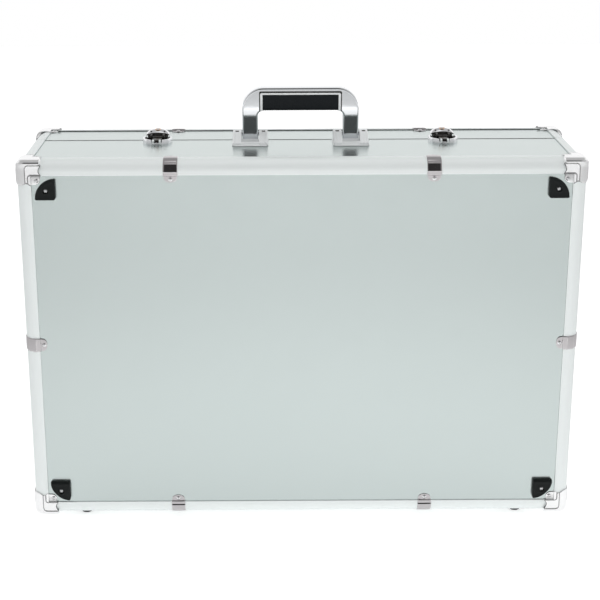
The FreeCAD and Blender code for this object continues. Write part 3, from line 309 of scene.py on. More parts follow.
def make_grain():
    """Fine grain: noise stretched along one axis, as brushing or rolling leaves it, and a wide soft cloud."""
    group, given, result = new_group(
        "drawn_grain",
        [("Position", "Vector", None), ("Stretch", "Vector", (1, 1, 1)), ("Fineness", "Float", 900.0)],
        ["Grain", "Cloud"])
    scaled = add(group, "VectorMath", {0: given["Position"], 1: given["Stretch"]}, operation="MULTIPLY")
    feed(group, result["Grain"], noise(group, scaled.outputs[0], given["Fineness"], 4.0, 0.65))
    feed(group, result["Cloud"], noise(group, given["Position"], 7.0, 3.0, 0.6))
    return group


def make_wear():
    """Edge wear: where the bevelled normal leaves the true one, broken up by noise, plus faint smudges."""
    group, given, result = new_group("edge_wear", [("Position", "Vector", None)], ["Edge", "Smudge"])
    bevel = add(group, "Bevel", {"Radius": 0.0012}, samples=4).outputs["Normal"]
    dot = add(group, "VectorMath", {0: bevel, 1: add(group, "NewGeometry").outputs["Normal"]},
              operation="DOT_PRODUCT")
    edge = ramp(group, dot.outputs["Value"], 0.995, 0.90)
    broken = ramp(group, noise(group, given["Position"], 260.0, 4.0, 0.7), 0.42, 0.62)
    feed(group, result["Edge"], calc(group, "MULTIPLY", edge, broken, clamp=True))
    feed(group, result["Smudge"], ramp(group, noise(group, given["Position"], 38.0, 5.0, 0.62), 0.45, 0.8))
    return group


GRAIN = make_grain()
WEAR = make_wear()


def new_material(name):
    """A material and its node tree."""
    material = bpy.data.materials.new(name)
    material.use_nodes = True
    return material, material.node_tree


def shade(tree, **inputs):
    """Feeds the shader's inputs, named with an underline for each space."""
    for name, value in inputs.items():
        feed(tree, tree.nodes["Principled BSDF"].inputs[name.replace("_", " ")], value)


def finish_of(name, colour, second, smoothest, roughest, metallic, fineness, bump, relief, stretch=(1, 1, 1),
              edge=None, specular=0.5, mixing=0.5):
    """A finished surface: grain and cloud mix two colours and two roughnesses, wear lightens the edges,
    and the grain is also a fine bump with its relief in metres."""
    material, tree = new_material(name)
    place = add(tree, "TexCoord").outputs["Object"]
    given = {"Position": place, "Stretch": stretch, "Fineness": fineness}
    grain = add(tree, "Group", given, node_tree=GRAIN).outputs
    wear = add(tree, "Group", {"Position": place}, node_tree=WEAR).outputs
    share = calc(tree, "MULTIPLY", calc(tree, "ADD", grain["Grain"], grain["Cloud"]), mixing, clamp=True)
    base = mixed(tree, share, (*colour, 1), (*second, 1))
    smudged = calc(tree, "ADD", share, calc(tree, "MULTIPLY", wear["Smudge"], 0.35))
    fine = add(tree, "Bump", {"Strength": bump, "Distance": relief, "Height": grain["Grain"]})
    shade(tree, Base_Color=mixed(tree, wear["Edge"], base, (*(edge or second), 1)), Metallic=metallic,
          Roughness=ramp(tree, smudged, 0.2, 1.0, smoothest, roughest), Specular_IOR_Level=specular,
          Normal=fine.outputs["Normal"])
    return material


def with_painted_groove_shade(material, dark):
    """Painted shade: lets the mesh's groove mask draw a finish towards a dark colour and take its metal away,
    where the grooves fall in shadow.
    """
    tree = material.node_tree
    mask = add(tree, "Attribute", attribute_name="groove").outputs["Fac"]
    plain = tree.nodes["Principled BSDF"].inputs["Base Color"].links[0].from_socket
    shade(tree, Base_Color=mixed(tree, mask, plain, (*dark, 1)),
          Metallic=calc(tree, "SUBTRACT", 1.0, mask, clamp=True))
    return material


laminate = finish_of(
    "silver_laminate", (0.545, 0.605, 0.595), (0.575, 0.635, 0.625), 0.19, 0.27, 0.93, 1500, 0.05, 6e-5,
    mixing=0.4)
satin, satin_up, satin_deep = (
    finish_of("satin_profile" + name, (0.84, 0.88, 0.875), (0.88, 0.92, 0.915), 0.45, 0.55, 0.32, 1600, 0.06,
              5e-5, stretch)
    for name, stretch in (("", (0.06, 1, 1)), ("_upright", (1, 1, 0.06)), ("_deep", (1, 0.06, 1))))
# Cap chrome with painted shade in its grooves and at its rolled rim.
cap_chrome = with_painted_groove_shade(
    finish_of("cap_chrome", (0.86, 0.86, 0.865), (0.91, 0.91, 0.915), 0.16, 0.25, 1.0, 420, 0.03, 6e-5,
              edge=(0.95, 0.95, 0.95)), (0.03, 0.032, 0.034))
clip_nickel = finish_of(
    "clip_nickel", (0.47, 0.45, 0.46), (0.54, 0.52, 0.53), 0.08, 0.17, 1.0, 420, 0.03, 6e-5,
    edge=(0.84, 0.83, 0.82))
rivet_metal = finish_of(
    "rivet_steel", (0.72, 0.72, 0.73), (0.82, 0.82, 0.83), 0.12, 0.24, 1.0, 1200, 0.08, 6e-5)
screw_steel = finish_of(
    "screw_steel", (0.50, 0.51, 0.52), (0.66, 0.67, 0.68), 0.2, 0.34, 1.0, 1300, 0.08, 5e-5)
pin_steel = finish_of(
    "pin_steel", (0.50, 0.51, 0.52), (0.62, 0.63, 0.64), 0.2, 0.34, 1.0, 1500, 0.08, 5e-5, (0.05, 1, 1))
hinge_steel = finish_of(
    "hinge_steel", (0.58, 0.59, 0.60), (0.68, 0.69, 0.70), 0.24, 0.38, 1.0, 1300, 0.1, 6e-5, (0.08, 1, 1))
strip_metal = finish_of(
    "rim_aluminium", (0.74, 0.76, 0.76), (0.80, 0.82, 0.82), 0.28, 0.4, 0.9, 1500, 0.06, 5e-5, (0.06, 1, 1))
casting = finish_of(
    "satin_bracket", (0.78, 0.80, 0.805), (0.85, 0.87, 0.875), 0.34, 0.46, 0.15, 1900, 0.12, 8e-5,
    edge=(0.86, 0.87, 0.88))
bow_chrome = finish_of(
    "handle_chrome", (0.84, 0.86, 0.88), (0.89, 0.91, 0.93), 0.045, 0.11, 1.0, 380, 0.02, 5e-5,
    edge=(0.94, 0.95, 0.96))
latch_metal = finish_of(
    "latch_chrome", (0.84, 0.84, 0.86), (0.90, 0.90, 0.92), 0.05, 0.12, 1.0, 500, 0.03, 5e-5,
    edge=(0.94, 0.94, 0.95))
ring_metal = finish_of(
    "latch_ring", (0.86, 0.87, 0.89), (0.91, 0.92, 0.94), 0.1, 0.18, 0.55, 500, 0.03, 5e-5,
    edge=(0.94, 0.94, 0.95))
# Painted shade: flat black that stands for the shadow in the latches' bowls and under their hasps, round the
# grip's seat and in the brackets' notches.
painted_shade_black = finish_of(
    "painted_shade_black", (0.007, 0.007, 0.007), (0.022, 0.018, 0.015), 0.2, 0.34, 0.0, 700, 0.04, 5e-5,
    edge=(0.04, 0.04, 0.04))
lock_brass = finish_of("lock_brass", (0.62, 0.44, 0.33), (0.72, 0.53, 0.40), 0.22, 0.34, 0.9, 1400, 0.1, 5e-5)
rubber = finish_of(
    "black_rubber", (0.005, 0.007, 0.007), (0.012, 0.014, 0.014), 0.5, 0.68, 0.0, 1100, 0.25, 1e-4,
                   edge=(0.03, 0.032, 0.032), specular=0.18)
foot_rubber = finish_of(
    "grey_rubber", (0.03, 0.032, 0.033), (0.07, 0.072, 0.073), 0.55, 0.75, 0.0, 900, 0.3, 1.2e-4,
    specular=0.3)
grip_rubber = finish_of(
    "grip_rubber", (0.004, 0.006, 0.008), (0.010, 0.012, 0.014), 0.42, 0.58, 0.0, 1300, 0.3, 1e-4,
    specular=0.2)
plywood = finish_of(
    "board_plywood", (0.42, 0.27, 0.14), (0.58, 0.41, 0.24), 0.55, 0.7, 0.0, 60, 0.2, 2e-4, (0.05, 1, 1))
pile = finish_of("board_carpet", (0.010, 0.010, 0.012), (0.035, 0.035, 0.04), 0.85, 0.98, 0.0, 650, 0.9, 7e-4,
                 mixing=0.7)
foam_skin = finish_of(
    "foam_grey", (0.05, 0.052, 0.055), (0.10, 0.104, 0.11), 0.85, 0.98, 0.0, 900, 0.8, 5e-4, mixing=0.6)


# Panels, walls, strips, pins and hinges keep their solids


walls = [half + "_wall_" + side for half in ("base", "lid") for side in ("top", "bottom", "left", "right")]
for material, names in (
        (laminate, ["base_panel", "lid_panel"] + walls), (strip_metal, ["base_rim", "lid_rim"]),
        (plywood, ["pedal_board"]), (pin_steel, ["handle_pins", "latch_pins", "hinge_pins"]),
        (hinge_steel, ["hinge_base_leaves", "hinge_lid_leaves"])):
    for name in names:
        nodes[name].data.materials.clear()
        nodes[name].data.materials.append(material)


# Edge profiles


PROFILE_CORNERS = [(LEG, 0), (0, 0), (0, LEG), (LIP, LEG), (LIP, SEAT), (PANEL_BACK, SEAT), (PANEL_BACK, LEG),
                   (INSIDE, LEG), (INSIDE, INSIDE), (LEG, INSIDE), (LEG, PANEL_BACK), (SEAT, PANEL_BACK),
                   (SEAT, LIP), (LEG, LIP)]
PROFILE_RADII = [0.4, PROFILE_RADIUS, 0.4, 0.3, 0.1, 0.1, 0.1, 0.3, 0.8, 0.3, 0.1, 0.1, 0.1, 0.3]

# The angle section as distances from its two outer faces, and its mitred end, cut back under the cap
SECTION_A, SECTION_B = rounded(PROFILE_CORNERS, PROFILE_RADII, 14).T
MITRE = np.maximum(SECTION_B, PROFILE_RADIUS)


def extrusion(start, end):
    """The section carried straight from one end to the other."""
    return [skin(np.array([stacked(*start), stacked(*end)]))]


upper = extrusion((LEFT + MITRE, FRONT + SECTION_A, TOP - SECTION_B),
                  (RIGHT - MITRE, FRONT + SECTION_A, TOP - SECTION_B))
side = extrusion((LEFT + SECTION_B, FRONT + SECTION_A, BOTTOM + MITRE),
                 (LEFT + SECTION_B, FRONT + SECTION_A, TOP - MITRE))
for name, shells, metal in (("top", upper, satin), ("bottom", flipped(upper, 2, MIDDLE_Z), satin),
                            ("left", side, satin_up), ("right", flipped(side, 0), satin_up)):
    on_both_halves("profile_" + name + "_extrusion", shells, metal, "satin_profile", "profile_" + name)

for half, start, end in (("base", FRONT + LEG, BASE_END), ("lid", LID_START, BACK - LEG)):
    deep = extrusion((LEFT + SECTION_A, start, TOP - SECTION_B), (LEFT + SECTION_A, end, TOP - SECTION_B))
    for height, row in (("top", deep), ("bottom", flipped(deep, 2, MIDDLE_Z))):
        for name, shells in (("left", row), ("right", flipped(row, 0))):
            node = half + "_corner_profile_" + height + "_" + name
            piece(node + "_extrusion", shells, satin_deep, half, "satin_profile", node)


# Corner caps


CAP_REACH, CAP_LEG = 32.2, LEG + SHEET
CAP_BEND = np.array([9.5, 9.0, 4.6])
PAD_START, PAD_END = 17.5, 28.3


def cap_surface(p):
    """The surface over points p of a sharp corner, in distances from its three planes: q = p / a, with a the
    bends, is drawn in to c + (q - c)/|q - c| with c = max(q, 1), and scaled back. The upright bend grows
    towards the side, the level ones below the top, and all bends become the profile's own at the cap's rim,
    so that the rim hugs it."""
    bend = np.broadcast_to(CAP_BEND, p.shape).copy()
    bend[..., 2] += 5.0 * (1 - smooth(p[..., 0] / 12.0))
    bend[..., 0] += 6.5 * smooth(p[..., 2] / 13.0)
    bend[..., 1] += 6.0 * smooth(p[..., 2] / 13.0)
    rim = smooth(1 - (CAP_REACH - p.max(-1)) / 1.6)[..., None]
    bend = bend + (PROFILE_RADIUS + SHEET - bend) * rim
    q = p / bend
    centre = np.maximum(q, 1.0)
    ray = unit(q - centre)
    return (centre + ray) * bend, unit(ray / bend)


def rounded_step(s, t, start_s, start_t, radius):
    """How far a point lies inside a quadrant that starts at two distances and has a rounded corner."""
    return radius - np.hypot(np.maximum(radius - (s - start_s), 0), np.maximum(radius - (t - start_t), 0))


CAP_PLATES = ((13.1, 9.8, 4.5), (13.1, 7.2, 4.5), (8.6, 8.6, 3.2))
CAP_PADS = ((12.2, 12.2, 2.6), (16.1, 19.4, 3.0), (12.2, 12.2, 2.6))
CAP_RISE, PAD_SINK = (0.15, 0.45, 0.0), (0.5, 0.9, 0.15)


def cap_groove_shade(points):
    """The painted shade on the caps' front and back faces, a dark share that stands for the shadow in the
    grooves
    and at the rolled rim: a bell on the distance from the plate's groove, from the pad's groove, and from
    the concave end beside the profile."""
    side = RIGHT + SHEET - np.abs(points[:, 0])
    height = TOP + SHEET - MIDDLE_Z - np.abs(points[:, 2] - MIDDLE_Z)
    depth = BACK + SHEET - MIDDLE_Y - np.abs(points[:, 1] - MIDDLE_Y)
    plate = rounded_step(side, height, *CAP_PLATES[1])
    pad = rounded_step(side, height, *CAP_PADS[1])
    dip = cap_dip(np.minimum(side, height), np.maximum(side, height))
    line = np.exp(-((plate + 0.3) / 0.42) ** 2) * (np.maximum(side, height) < CAP_REACH - 1.0)
    line = np.maximum(line, np.exp(-((pad - 0.1) / 0.5) ** 2) * (np.minimum(side, height) < CAP_LEG))
    line = np.maximum(line, smooth((side + dip - CAP_REACH + 0.75) / 0.4) * (height < CAP_LEG + 0.3))
    return line * smooth((3.2 - depth) / 1.0)


def cap_dip(near, past):
    """How far a leg's end is drawn back: a squared sine of the squared share of the leg's width."""
    wave = np.sin(math.pi * np.clip(near / CAP_LEG, 0, 1) ** 2) ** 2
    return 2.6 * wave * smooth((past - CAP_LEG) / 9.5)


CAP_LINES = np.array([
    0, 1.0, 2.0, 3.0, 3.8, 4.4, 4.7, 5.0, 5.3, 5.7, 6.4, 6.7, 7.0, 7.4, 7.9, 8.3, 8.7, 9.1, 9.6, 10.4, 11.4,
    12.2, 12.5, 12.8, 13.1, 13.5, 14.5, 15.4, 15.75, 16.1, 16.5, 17.4, 18.6, 19.0, 19.3, 19.7, CAP_LEG, 20.4,
    20.9, 21.7, 23.5, 25.5, 27.5, 29.2, 30.4, 31.2, 31.6, 31.95, CAP_REACH])


def cap_skin():
    """One cap: three L-shaped grids on the faces of a sharp corner, bent by cap_surface, and then raised by
    the pressed plate, the groove round it, the groove round the rivet's pad and the rolled rim."""
    s, t = np.meshgrid(CAP_LINES, CAP_LINES, indexing="ij")
    middle = (CAP_LINES[1:] + CAP_LINES[:-1]) / 2
    faces = cells(s.shape)[np.minimum(*np.meshgrid(middle, middle, indexing="ij")) < CAP_LEG]
    near, past = np.minimum(s, t), np.maximum(s, t)
    to_side = np.where(past > CAP_LEG, CAP_LEG - near, np.hypot(CAP_LEG - s, CAP_LEG - t))
    border = np.minimum(CAP_REACH - past, np.maximum(to_side, 0))
    dip = cap_dip(near, past)
    points, normals, quads = [], [], []
    for across in range(3):
        plate = rounded_step(s, t, *CAP_PLATES[across])
        pad = rounded_step(s, t, *CAP_PADS[across])
        raised = CAP_RISE[across] * (smooth(plate / 0.7) - 1.1 * np.exp(-((plate + 0.3) / 0.36) ** 2))
        raised = raised - PAD_SINK[across] * np.exp(-((pad - 0.1) / 0.45) ** 2) * (near < CAP_LEG)
        raised = raised - 0.25 * smooth((pad - 0.6) / 0.5) * (across != 2)
        raised = raised * smooth((border - 0.3) / 0.9) - 0.3 * (1 - smooth(border / 0.8))
        sharp = [s - np.where(s >= t, dip, 0), t - np.where(t > s, dip, 0)]
        sharp.insert(across, 0 * s)
        surface, normal = cap_surface(np.stack(sharp, -1))
        points.append((surface - normal * raised[..., None]).reshape(-1, 3))
        normals.append(normal.reshape(-1, 3))
        quads.append((faces if across != 1 else faces[:, ::-1]) + across * s.size)
    points, normals, quads = np.concatenate(points), np.concatenate(normals), np.concatenate(quads)
    _, first_of, same = np.unique(np.round(points, 3), axis=0, return_index=True, return_inverse=True)
    used, quads = np.unique(same.reshape(-1)[quads], return_inverse=True)
    flip = np.array([1, 1, -1.0])
    skin_out = np.array([LEFT - SHEET, FRONT - SHEET, TOP + SHEET]) + points[first_of][used] * flip
    return closed(skin_out, skin_out - normals[first_of][used] * flip * 0.9, quads.reshape(-1, 4))


def cap_pad(across):
    """A rivet's pad: a small plate on the panel in the crook of the cap's legs, round at its free corner."""
    end, deep = (29.8, 30.2) if across == 1 else (PAD_END, PAD_END)

    def place(u, v, t):
        columns = [u, v]
        columns.insert(across, LIP - t)
        return stacked(LEFT + columns[0], FRONT + columns[1], TOP - columns[2])

    corners = [(PAD_START, PAD_START), (end, PAD_START), (end, deep), (PAD_START, deep)]
    return slab(corners, [0.4, 1.0, 6.5, 1.0], place, -0.1, 1.15)


def rivet_head(centre, axis, radius=2.7, height=1.2):
    """A domed head with a small dimple: height falls with the square of the share of the radius."""
    share = np.array([0.02, 0.12, 0.22, 0.32, 0.42, 0.55, 0.7, 0.84, 0.94, 1.0, 1.0])
    lift = height * (1 - share ** 2) - 0.55 * height * (1 - smooth(share / 0.36))
    lift[-1] = -0.3
    return turned(np.stack([share * radius, lift], 1), centre, axis, 24)


FORWARD, LEFTWARD, RIGHTWARD, UPWARD, DOWNWARD = (0, -1, 0), (-1, 0, 0), (1, 0, 0), (0, 0, 1), (0, 0, -1)
RIVET_IN, RIVET_SUNK = 23.4, LIP - 1.1
corner_heads = [rivet_head((LEFT + 25.6, FRONT + RIVET_SUNK, TOP - 24.9), FORWARD),
                rivet_head((LEFT + RIVET_IN, FRONT + RIVET_IN, TOP - RIVET_SUNK), UPWARD),
                rivet_head((LEFT + RIVET_SUNK, FRONT + RIVET_IN, TOP - RIVET_IN), LEFTWARD)]
corner_shells = all_corners([cap_skin()] + [cap_pad(across) for across in range(3)])
# The caps carry painted shade: their groove mask darkens the shadowed grooves and the rolled rim.
on_both_halves("corner_caps_pressed", corner_shells, cap_chrome, "pressed_chrome", "corner_caps",
               mask=cap_groove_shade)


# Clips over the profiles


TAB_RIVET, CLIP_X, CLIP_WIDTH = LEG + 4.9, 161.2, 17.6


def clip_run(place, side_vector):
    """A clip: its path is a tab on one panel, a step, a quarter round over the profile, a step and a tab on
    the other panel; each tab's end is round. From 5.5 to 37 degrees the bend is pressed flat: its radius is
    17 over the cosine of the angle from 24 degrees, and it falls back to 17 in 5 degrees."""
    end, low, high = LEG + 9.0, LIP - SHEET, -SHEET
    tab = np.concatenate([end - (1 - np.cos(np.linspace(0.12, math.pi / 2, 9))) * 7.0,
                          np.linspace(20.6, LEG - 0.2, 8)])
    lift = low + (high - low) * smooth((20.8 - tab) / 1.5)
    degrees = np.append([1, 5.1, 5.5, 5.9, 9, 13, 18, 24, 30, 34, 36.6, 37, 37.4, 41.6, 42],
                        np.arange(45.0, 90.0, 5.0))
    fall = np.clip(np.maximum(5.5 - degrees, degrees - 37) / 5, 0, 1)
    radius = 17 + (17 / np.cos(np.radians(np.clip(degrees, 5.5, 37) - 24)) - 17) * (1 - fall)
    angle = np.radians(degrees)
    arc = np.stack([16 - radius * np.cos(angle), 16 - radius * np.sin(angle)], 1)
    first = np.stack([lift, tab], 1)
    line = np.concatenate([first, [[high, 17.4], [high, 16]], arc, [[16, high], [17.4, high]],
                           first[::-1, ::-1]])
    ahead = unit(np.gradient(line, axis=0))
    out = np.stack([ahead[:, 1], -ahead[:, 0]], 1)
    out *= np.sign((out * (line - 16)).sum(1, keepdims=True))
    reach = np.maximum(line[:, 0], line[:, 1])
    round_end = np.sqrt(np.clip(1 - (np.clip(reach - 21.5, 0, 9) / 6.62) ** 2.6, 0.012, 1))
    size = CLIP_WIDTH * round_end - 1.2 * smooth((reach - 19.5) / 1.5)
    path = place(line[:, 0], line[:, 1])
    up = place(out[:, 0], out[:, 1]) - place(0 * out[:, 0], 0 * out[:, 1])
    return strap(path, up, np.broadcast_to(np.array(side_vector, float), path.shape), size, SHEET, 0.18)


edge_clip = clip_run(lambda a, b: stacked(-CLIP_X, FRONT + a, TOP - b), RIGHTWARD)
side_clip = clip_run(lambda a, b: stacked(LEFT + b, FRONT + a, MIDDLE_Z), UPWARD)
clip_shells = all_corners([edge_clip]) + both_sides([side_clip])
on_both_halves("clips_pressed", clip_shells, clip_nickel, "pressed_chrome", "clips")

edge_heads = [rivet_head((-CLIP_X, FRONT + 0.4, TOP - TAB_RIVET), FORWARD),
              rivet_head((-CLIP_X, FRONT + TAB_RIVET, TOP - 0.4), UPWARD)]
side_heads = [rivet_head((LEFT + TAB_RIVET, FRONT + 0.4, MIDDLE_Z), FORWARD),
              rivet_head((LEFT + 0.4, FRONT + TAB_RIVET, MIDDLE_Z), LEFTWARD)]
rivet_shells = all_corners(corner_heads + edge_heads) + both_sides(side_heads)
leaf_heads = both_sides([rivet_head((200.0 + shift, SEAM - 16, WALL_BOTTOM - 1.5), DOWNWARD, 2.4, 0.9)
                         for shift in (-16, 16)])
piece("base_rivets", rivet_shells + leaf_heads, rivet_metal, "base", "rivet_steel")
piece("lid_rivets", flipped(rivet_shells, 1, MIDDLE_Y) + flipped(leaf_heads, 1, SEAM), rivet_metal, "lid",
      "rivet_steel")

# Painted shade: black beads that stand for the shadow in the seam and at the walls' lips

# The dark seal that stands in the seam


def shade_bead_ring(depth, middle, half_deep, half_high):
    """A black bead of painted shade round the whole case, standing for a shadowed gap: an ellipse carried
    along a rounded rectangle in the X-Z plane.
    """
    outline = rounded([(LEFT + 1.5, BOTTOM + 1.5), (RIGHT - 1.5, BOTTOM + 1.5), (RIGHT - 1.5, TOP - 1.5),
                       (LEFT + 1.5, TOP - 1.5)], 16.0, 12)
    out = unit(np.roll(outline, -1, 0) - np.roll(outline, 1, 0))
    out = np.stack([out[:, 1], -out[:, 0]], 1)
    angle = around(12)
    proud = middle + half_high * np.sin(angle)
    x = outline[:, None, 0] + out[:, None, 0] * proud
    z = outline[:, None, 1] + out[:, None, 1] * proud
    return skin(stacked(x, depth + half_deep * np.cos(angle), z), True)


# Painted shade: this bead stands for the shadow in the seam between base and lid.
piece("lid_seam_shade_bead", [shade_bead_ring(SEAM, -0.15, 0.5, 0.6)], rubber, "lid", "black_rubber")
# Painted shade: these beads stand for the shadow where the walls meet the profiles' lips.
wall_shade_bead = shade_bead_ring(BACK - LEG - 0.25, 0.1, 0.4, 0.5)
piece("lid_wall_shade_bead", [wall_shade_bead], rubber, "lid", "black_rubber")
piece("base_wall_shade_bead", flipped([wall_shade_bead], 1, MIDDLE_Y), rubber, "base", "black_rubber")


# Feet


FOOT_IN, FOOT_DOWN = LEFT + 36.6, TOP - 36.8


def quarter_foot():
    """A quarter-round rubber foot: rings round its screw, each the foot's outline drawn in by the bevel and
    the shallow dish, down to the screw's recess. The outline's distance from the screw along each ray is the
    least of two straight sides and one arc, softened at the corners; the arc side tapers to the front."""
    straight, arc_radius, arc_offset, height, recess = 11.4, 26.4, 12, 7.5, 3.5
    angle = around(96)
    ray = np.stack([np.cos(angle), np.sin(angle)], 1)
    right = straight / np.maximum(ray[:, 0], 1e-6)
    low = straight / np.maximum(-ray[:, 1], 1e-6)
    along = arc_offset * (ray[:, 0] - ray[:, 1])
    arc = along + np.sqrt(np.maximum(along ** 2 - 2 * arc_offset ** 2 + arc_radius ** 2, 0))
    reach = (right ** -14 + low ** -14 + arc ** -14) ** (-1 / 14)
    taper = 2.0 * (reach / np.maximum(arc, reach)) ** 14
    steps = [(0, 0), (0, 6.5), (0.25, 7.0), (0.7, 7.35), (1.3, 7.5), (2.6, 7.5), (3.1, 7.3), (3.5, 7.2)]
    rings = [(reach - inset - taper * rise / height, rise) for inset, rise in steps]
    rings += [(recess + 1.2, 7.2), (recess + 0.8, 7.35), (recess + 0.3, 7.3), (recess, 6.9), (recess, 4.6),
              (recess * 0.1, 4.6)]
    grid = np.array([stacked(r * ray[:, 0], -rise, r * ray[:, 1]) for r, rise in rings])
    return skin(grid + np.array([FOOT_IN, FRONT + LIP, FOOT_DOWN]))


def cross_screw(centre):
    """A small pan head with a cross recess: the dome less a floor wherever either cross arm is nearer than
    its half width."""
    head = 3.4
    angle = around(64)
    radius = np.array([0.05, 0.3, 0.6, 0.9, 1.2, 1.5, 1.8, 2.0, 2.3, 2.7, 3.1, 3.35, head, head])
    r, turn = np.meshgrid(radius, angle, indexing="ij")
    x, z = r * np.cos(turn), r * np.sin(turn)
    cross = smooth((0.62 - np.minimum(np.abs(x), np.abs(z))) / 0.2) * smooth((2.0 - r) / 0.25)
    height = 1.75 * (1 - 0.55 * (r / head) ** 2.5) - 0.8 * cross
    height[-1] = -0.3
    return skin(stacked(x, -height, z) * 0.8 + np.array(centre))


piece("rubber_feet_moulded", all_corners([quarter_foot()]), rubber, "base", "black_rubber", "rubber_feet")
screw_shells = all_corners([cross_screw((FOOT_IN, FRONT - 3.2, FOOT_DOWN))])
piece("rubber_foot_screw_heads", screw_shells, screw_steel, "base", "rivet_steel", "rubber_foot_screws", 40)

stand_profile = [(8.9, 11.5), (8.9, 9.8), (8.75, 9.0), (7.9, 1.5), (7.6, 0.6), (7.0, 0.1), (6.2, 0.0),
                 (3.4, 0.0), (3.2, 0.3), (3.0, 2.4), (0.1, 2.4)]
stand = both_sides([turned(stand_profile, (286.0, FRONT + 33.0, 0.0), UPWARD, 40)])
on_both_halves("stand_feet_moulded", stand, foot_rubber, "grey_rubber", "stand_feet")


# Handle


PIVOT_Y, PIVOT_Z, BOW_Y = 13.0, WALL_TOP + 10.5, 15.0
HALF_BOW, HALF_GAP, HALF_GRIP = 74.4, 54.4, 48.5
BOW_FOOT, BOW_TOP, BOW_UNDER = PIVOT_Z - 6.5, PIVOT_Z + 61.0, PIVOT_Z + 30.8
GRIP_TOP = BOW_UNDER + 21.3


def bow_depth(z):
    """Middle and half thickness of the bow by height: slim legs widen smoothly to the beam."""
    rise = smooth((z - PIVOT_Z) / 36.0)
    return PIVOT_Y + 0.5 + (BOW_Y - PIVOT_Y - 0.5) * rise, 5.6 + 4.4 * rise


def bow_place(x, z, t):
    """A point of the bow: t runs from -10 at the front to 10 at the back and is scaled to the thickness."""
    middle, half = bow_depth(z)
    foot = np.clip((PIVOT_Z - z) / 6.5, 0, 1)
    half = half * np.sqrt(np.clip(1 - 0.93 * foot ** 2, 0.05, 1))
    return stacked(x, middle + t * half / 10.0, z)


def inside(border, points):
    """Which points lie in a polygon: a ray to the right crosses its sides an odd number of times."""
    start, end = border[:, None], np.roll(border, -1, 0)[:, None]
    spans = (start[..., 1] > points[:, 1]) != (end[..., 1] > points[:, 1])
    rise = end[..., 1] - start[..., 1]
    share = (points[:, 1] - start[..., 1]) / np.where(rise == 0, 1, rise)
    return (spans & (points[:, 0] < start[..., 0] + share * (end[..., 0] - start[..., 0]))).sum(0) % 2 == 1


def netted(shell, sides):
    """A bow whose two flat faces are nets of triangles, so that their normals follow the thickness: each
    face is a Delaunay net of its border and of a grid of points more than 1.2 inside it."""
    points, quads, ends = shell
    across, up = np.meshgrid(np.arange(-HALF_BOW, HALF_BOW, 2.4), np.arange(BOW_FOOT, BOW_TOP, 2.4))
    grid = np.stack([across.ravel(), up.ravel()], 1)
    faces = []
    for end, depth in zip(ends, sides):
        border = points[end][:, [0, 2]]
        clear = np.sqrt(((grid[:, None] - border[None]) ** 2).sum(-1)).min(1) > 1.2
        extra = grid[clear & inside(border, grid)]
        count = len(border)
        loop = [(i, (i + 1) % count) for i in range(count)]
        net = delaunay_2d_cdt([Vector(p) for p in np.concatenate([border, extra])], loop, [], 1, 1e-5)
        places = [int(end[same[0]]) if same[0] < count else len(points) + same[0] - count for same in net[3]]
        facing = 1 if depth < 0 else -1
        faces += [np.array([places[i] for i in face])[::facing] for face in net[2]]
        points = np.concatenate([points, bow_place(extra[:, 0], extra[:, 1], depth)])
    return points, quads, faces


def bow_shell():
    """The bow: a slab of an arch with a stepped seat for the grip, its rims wide quarter rounds."""
    right = [(HALF_BOW, BOW_FOOT), (HALF_BOW, BOW_TOP)]
    inner = [(-HALF_GAP, BOW_FOOT), (-HALF_GAP, BOW_UNDER), (-HALF_GRIP, BOW_UNDER), (-HALF_GRIP, GRIP_TOP)]
    corners = right + [(-x, z) for x, z in right[::-1]] + inner + [(-x, z) for x, z in inner[::-1]]
    radii = [0.8, 27.0, 27.0, 0.8, 0.8, 6.0, 0.5, 0.5, 0.5, 0.5, 6.0, 0.8]
    return netted(slab(corners, radii, bow_place, -10.0, 10.0, 2.2, 14, 7, 2.0, 0.6), (-10.0, 10.0))


def grip_frame(side, rise, deep):
    """A flat frame round the grip's ends and top, as wide as the given side and rise."""
    outer, top = HALF_GRIP + side, GRIP_TOP + rise
    corners = [(-outer, BOW_UNDER), (-HALF_GRIP, BOW_UNDER), (-HALF_GRIP, GRIP_TOP), (HALF_GRIP, GRIP_TOP),
               (HALF_GRIP, BOW_UNDER), (outer, BOW_UNDER), (outer, top), (-outer, top)]
    return slab(corners, [0.2, 0.2, 0.2, 0.2, 0.2, 0.2, 2.0, 2.0], bow_place, -deep, deep, rim=0.15)


piece("handle_grip_surround", [grip_frame(2.9, 2.3, 10.4)], casting, "handle", "handle_chrome")
# Painted shade: a black frame just wider than the surround stands for the shadow in the gap round the grip's
# seat.
piece("handle_grip_shadow_sheet", [grip_frame(4.3, 4.5, 10.2)], painted_shade_black, "handle", "handle_chrome")
piece("handle_bow", [bow_shell()], bow_chrome, "handle", "handle_chrome", "handle_frame", 40)


def grip_shell():
    """The grip: its section is a rounded rectangle, and fine ribs across it make all but its flat top rise
    and fall with the cosine of the run."""
    half, middle, rib_pitch = HALF_GRIP - 0.15, 10.7, 2.35
    run = np.linspace(-half, half, 340)
    section = rounded([(10.0, 0.2), (10.0, 21.2), (-10.0, 21.2), (-10.0, 0.2)], [5.5, 0.6, 0.6, 5.5], 8)
    rib = 1 - 0.020 * (0.5 - 0.5 * np.cos(2 * math.pi * run / rib_pitch)) * smooth((half - np.abs(run)) / 2.5)
    scale = np.where(section[:, 1] > 20.3, 1.0, rib[:, None])
    y = BOW_Y + section[:, 0] * scale * 1.03
    z = BOW_UNDER + middle + (section[:, 1] - middle) * scale
    return skin(stacked(run[:, None], y, z))


piece("handle_grip_ribbed", [grip_shell()], grip_rubber, "handle", "grip_rubber", "handle_grip", 50)

CHEEK_TOP = WALL_TOP + 14.5


def plates_at(centre):
    """A placing of plates across X round a centre."""
    return lambda u, v, t: stacked(centre + t, u, v)


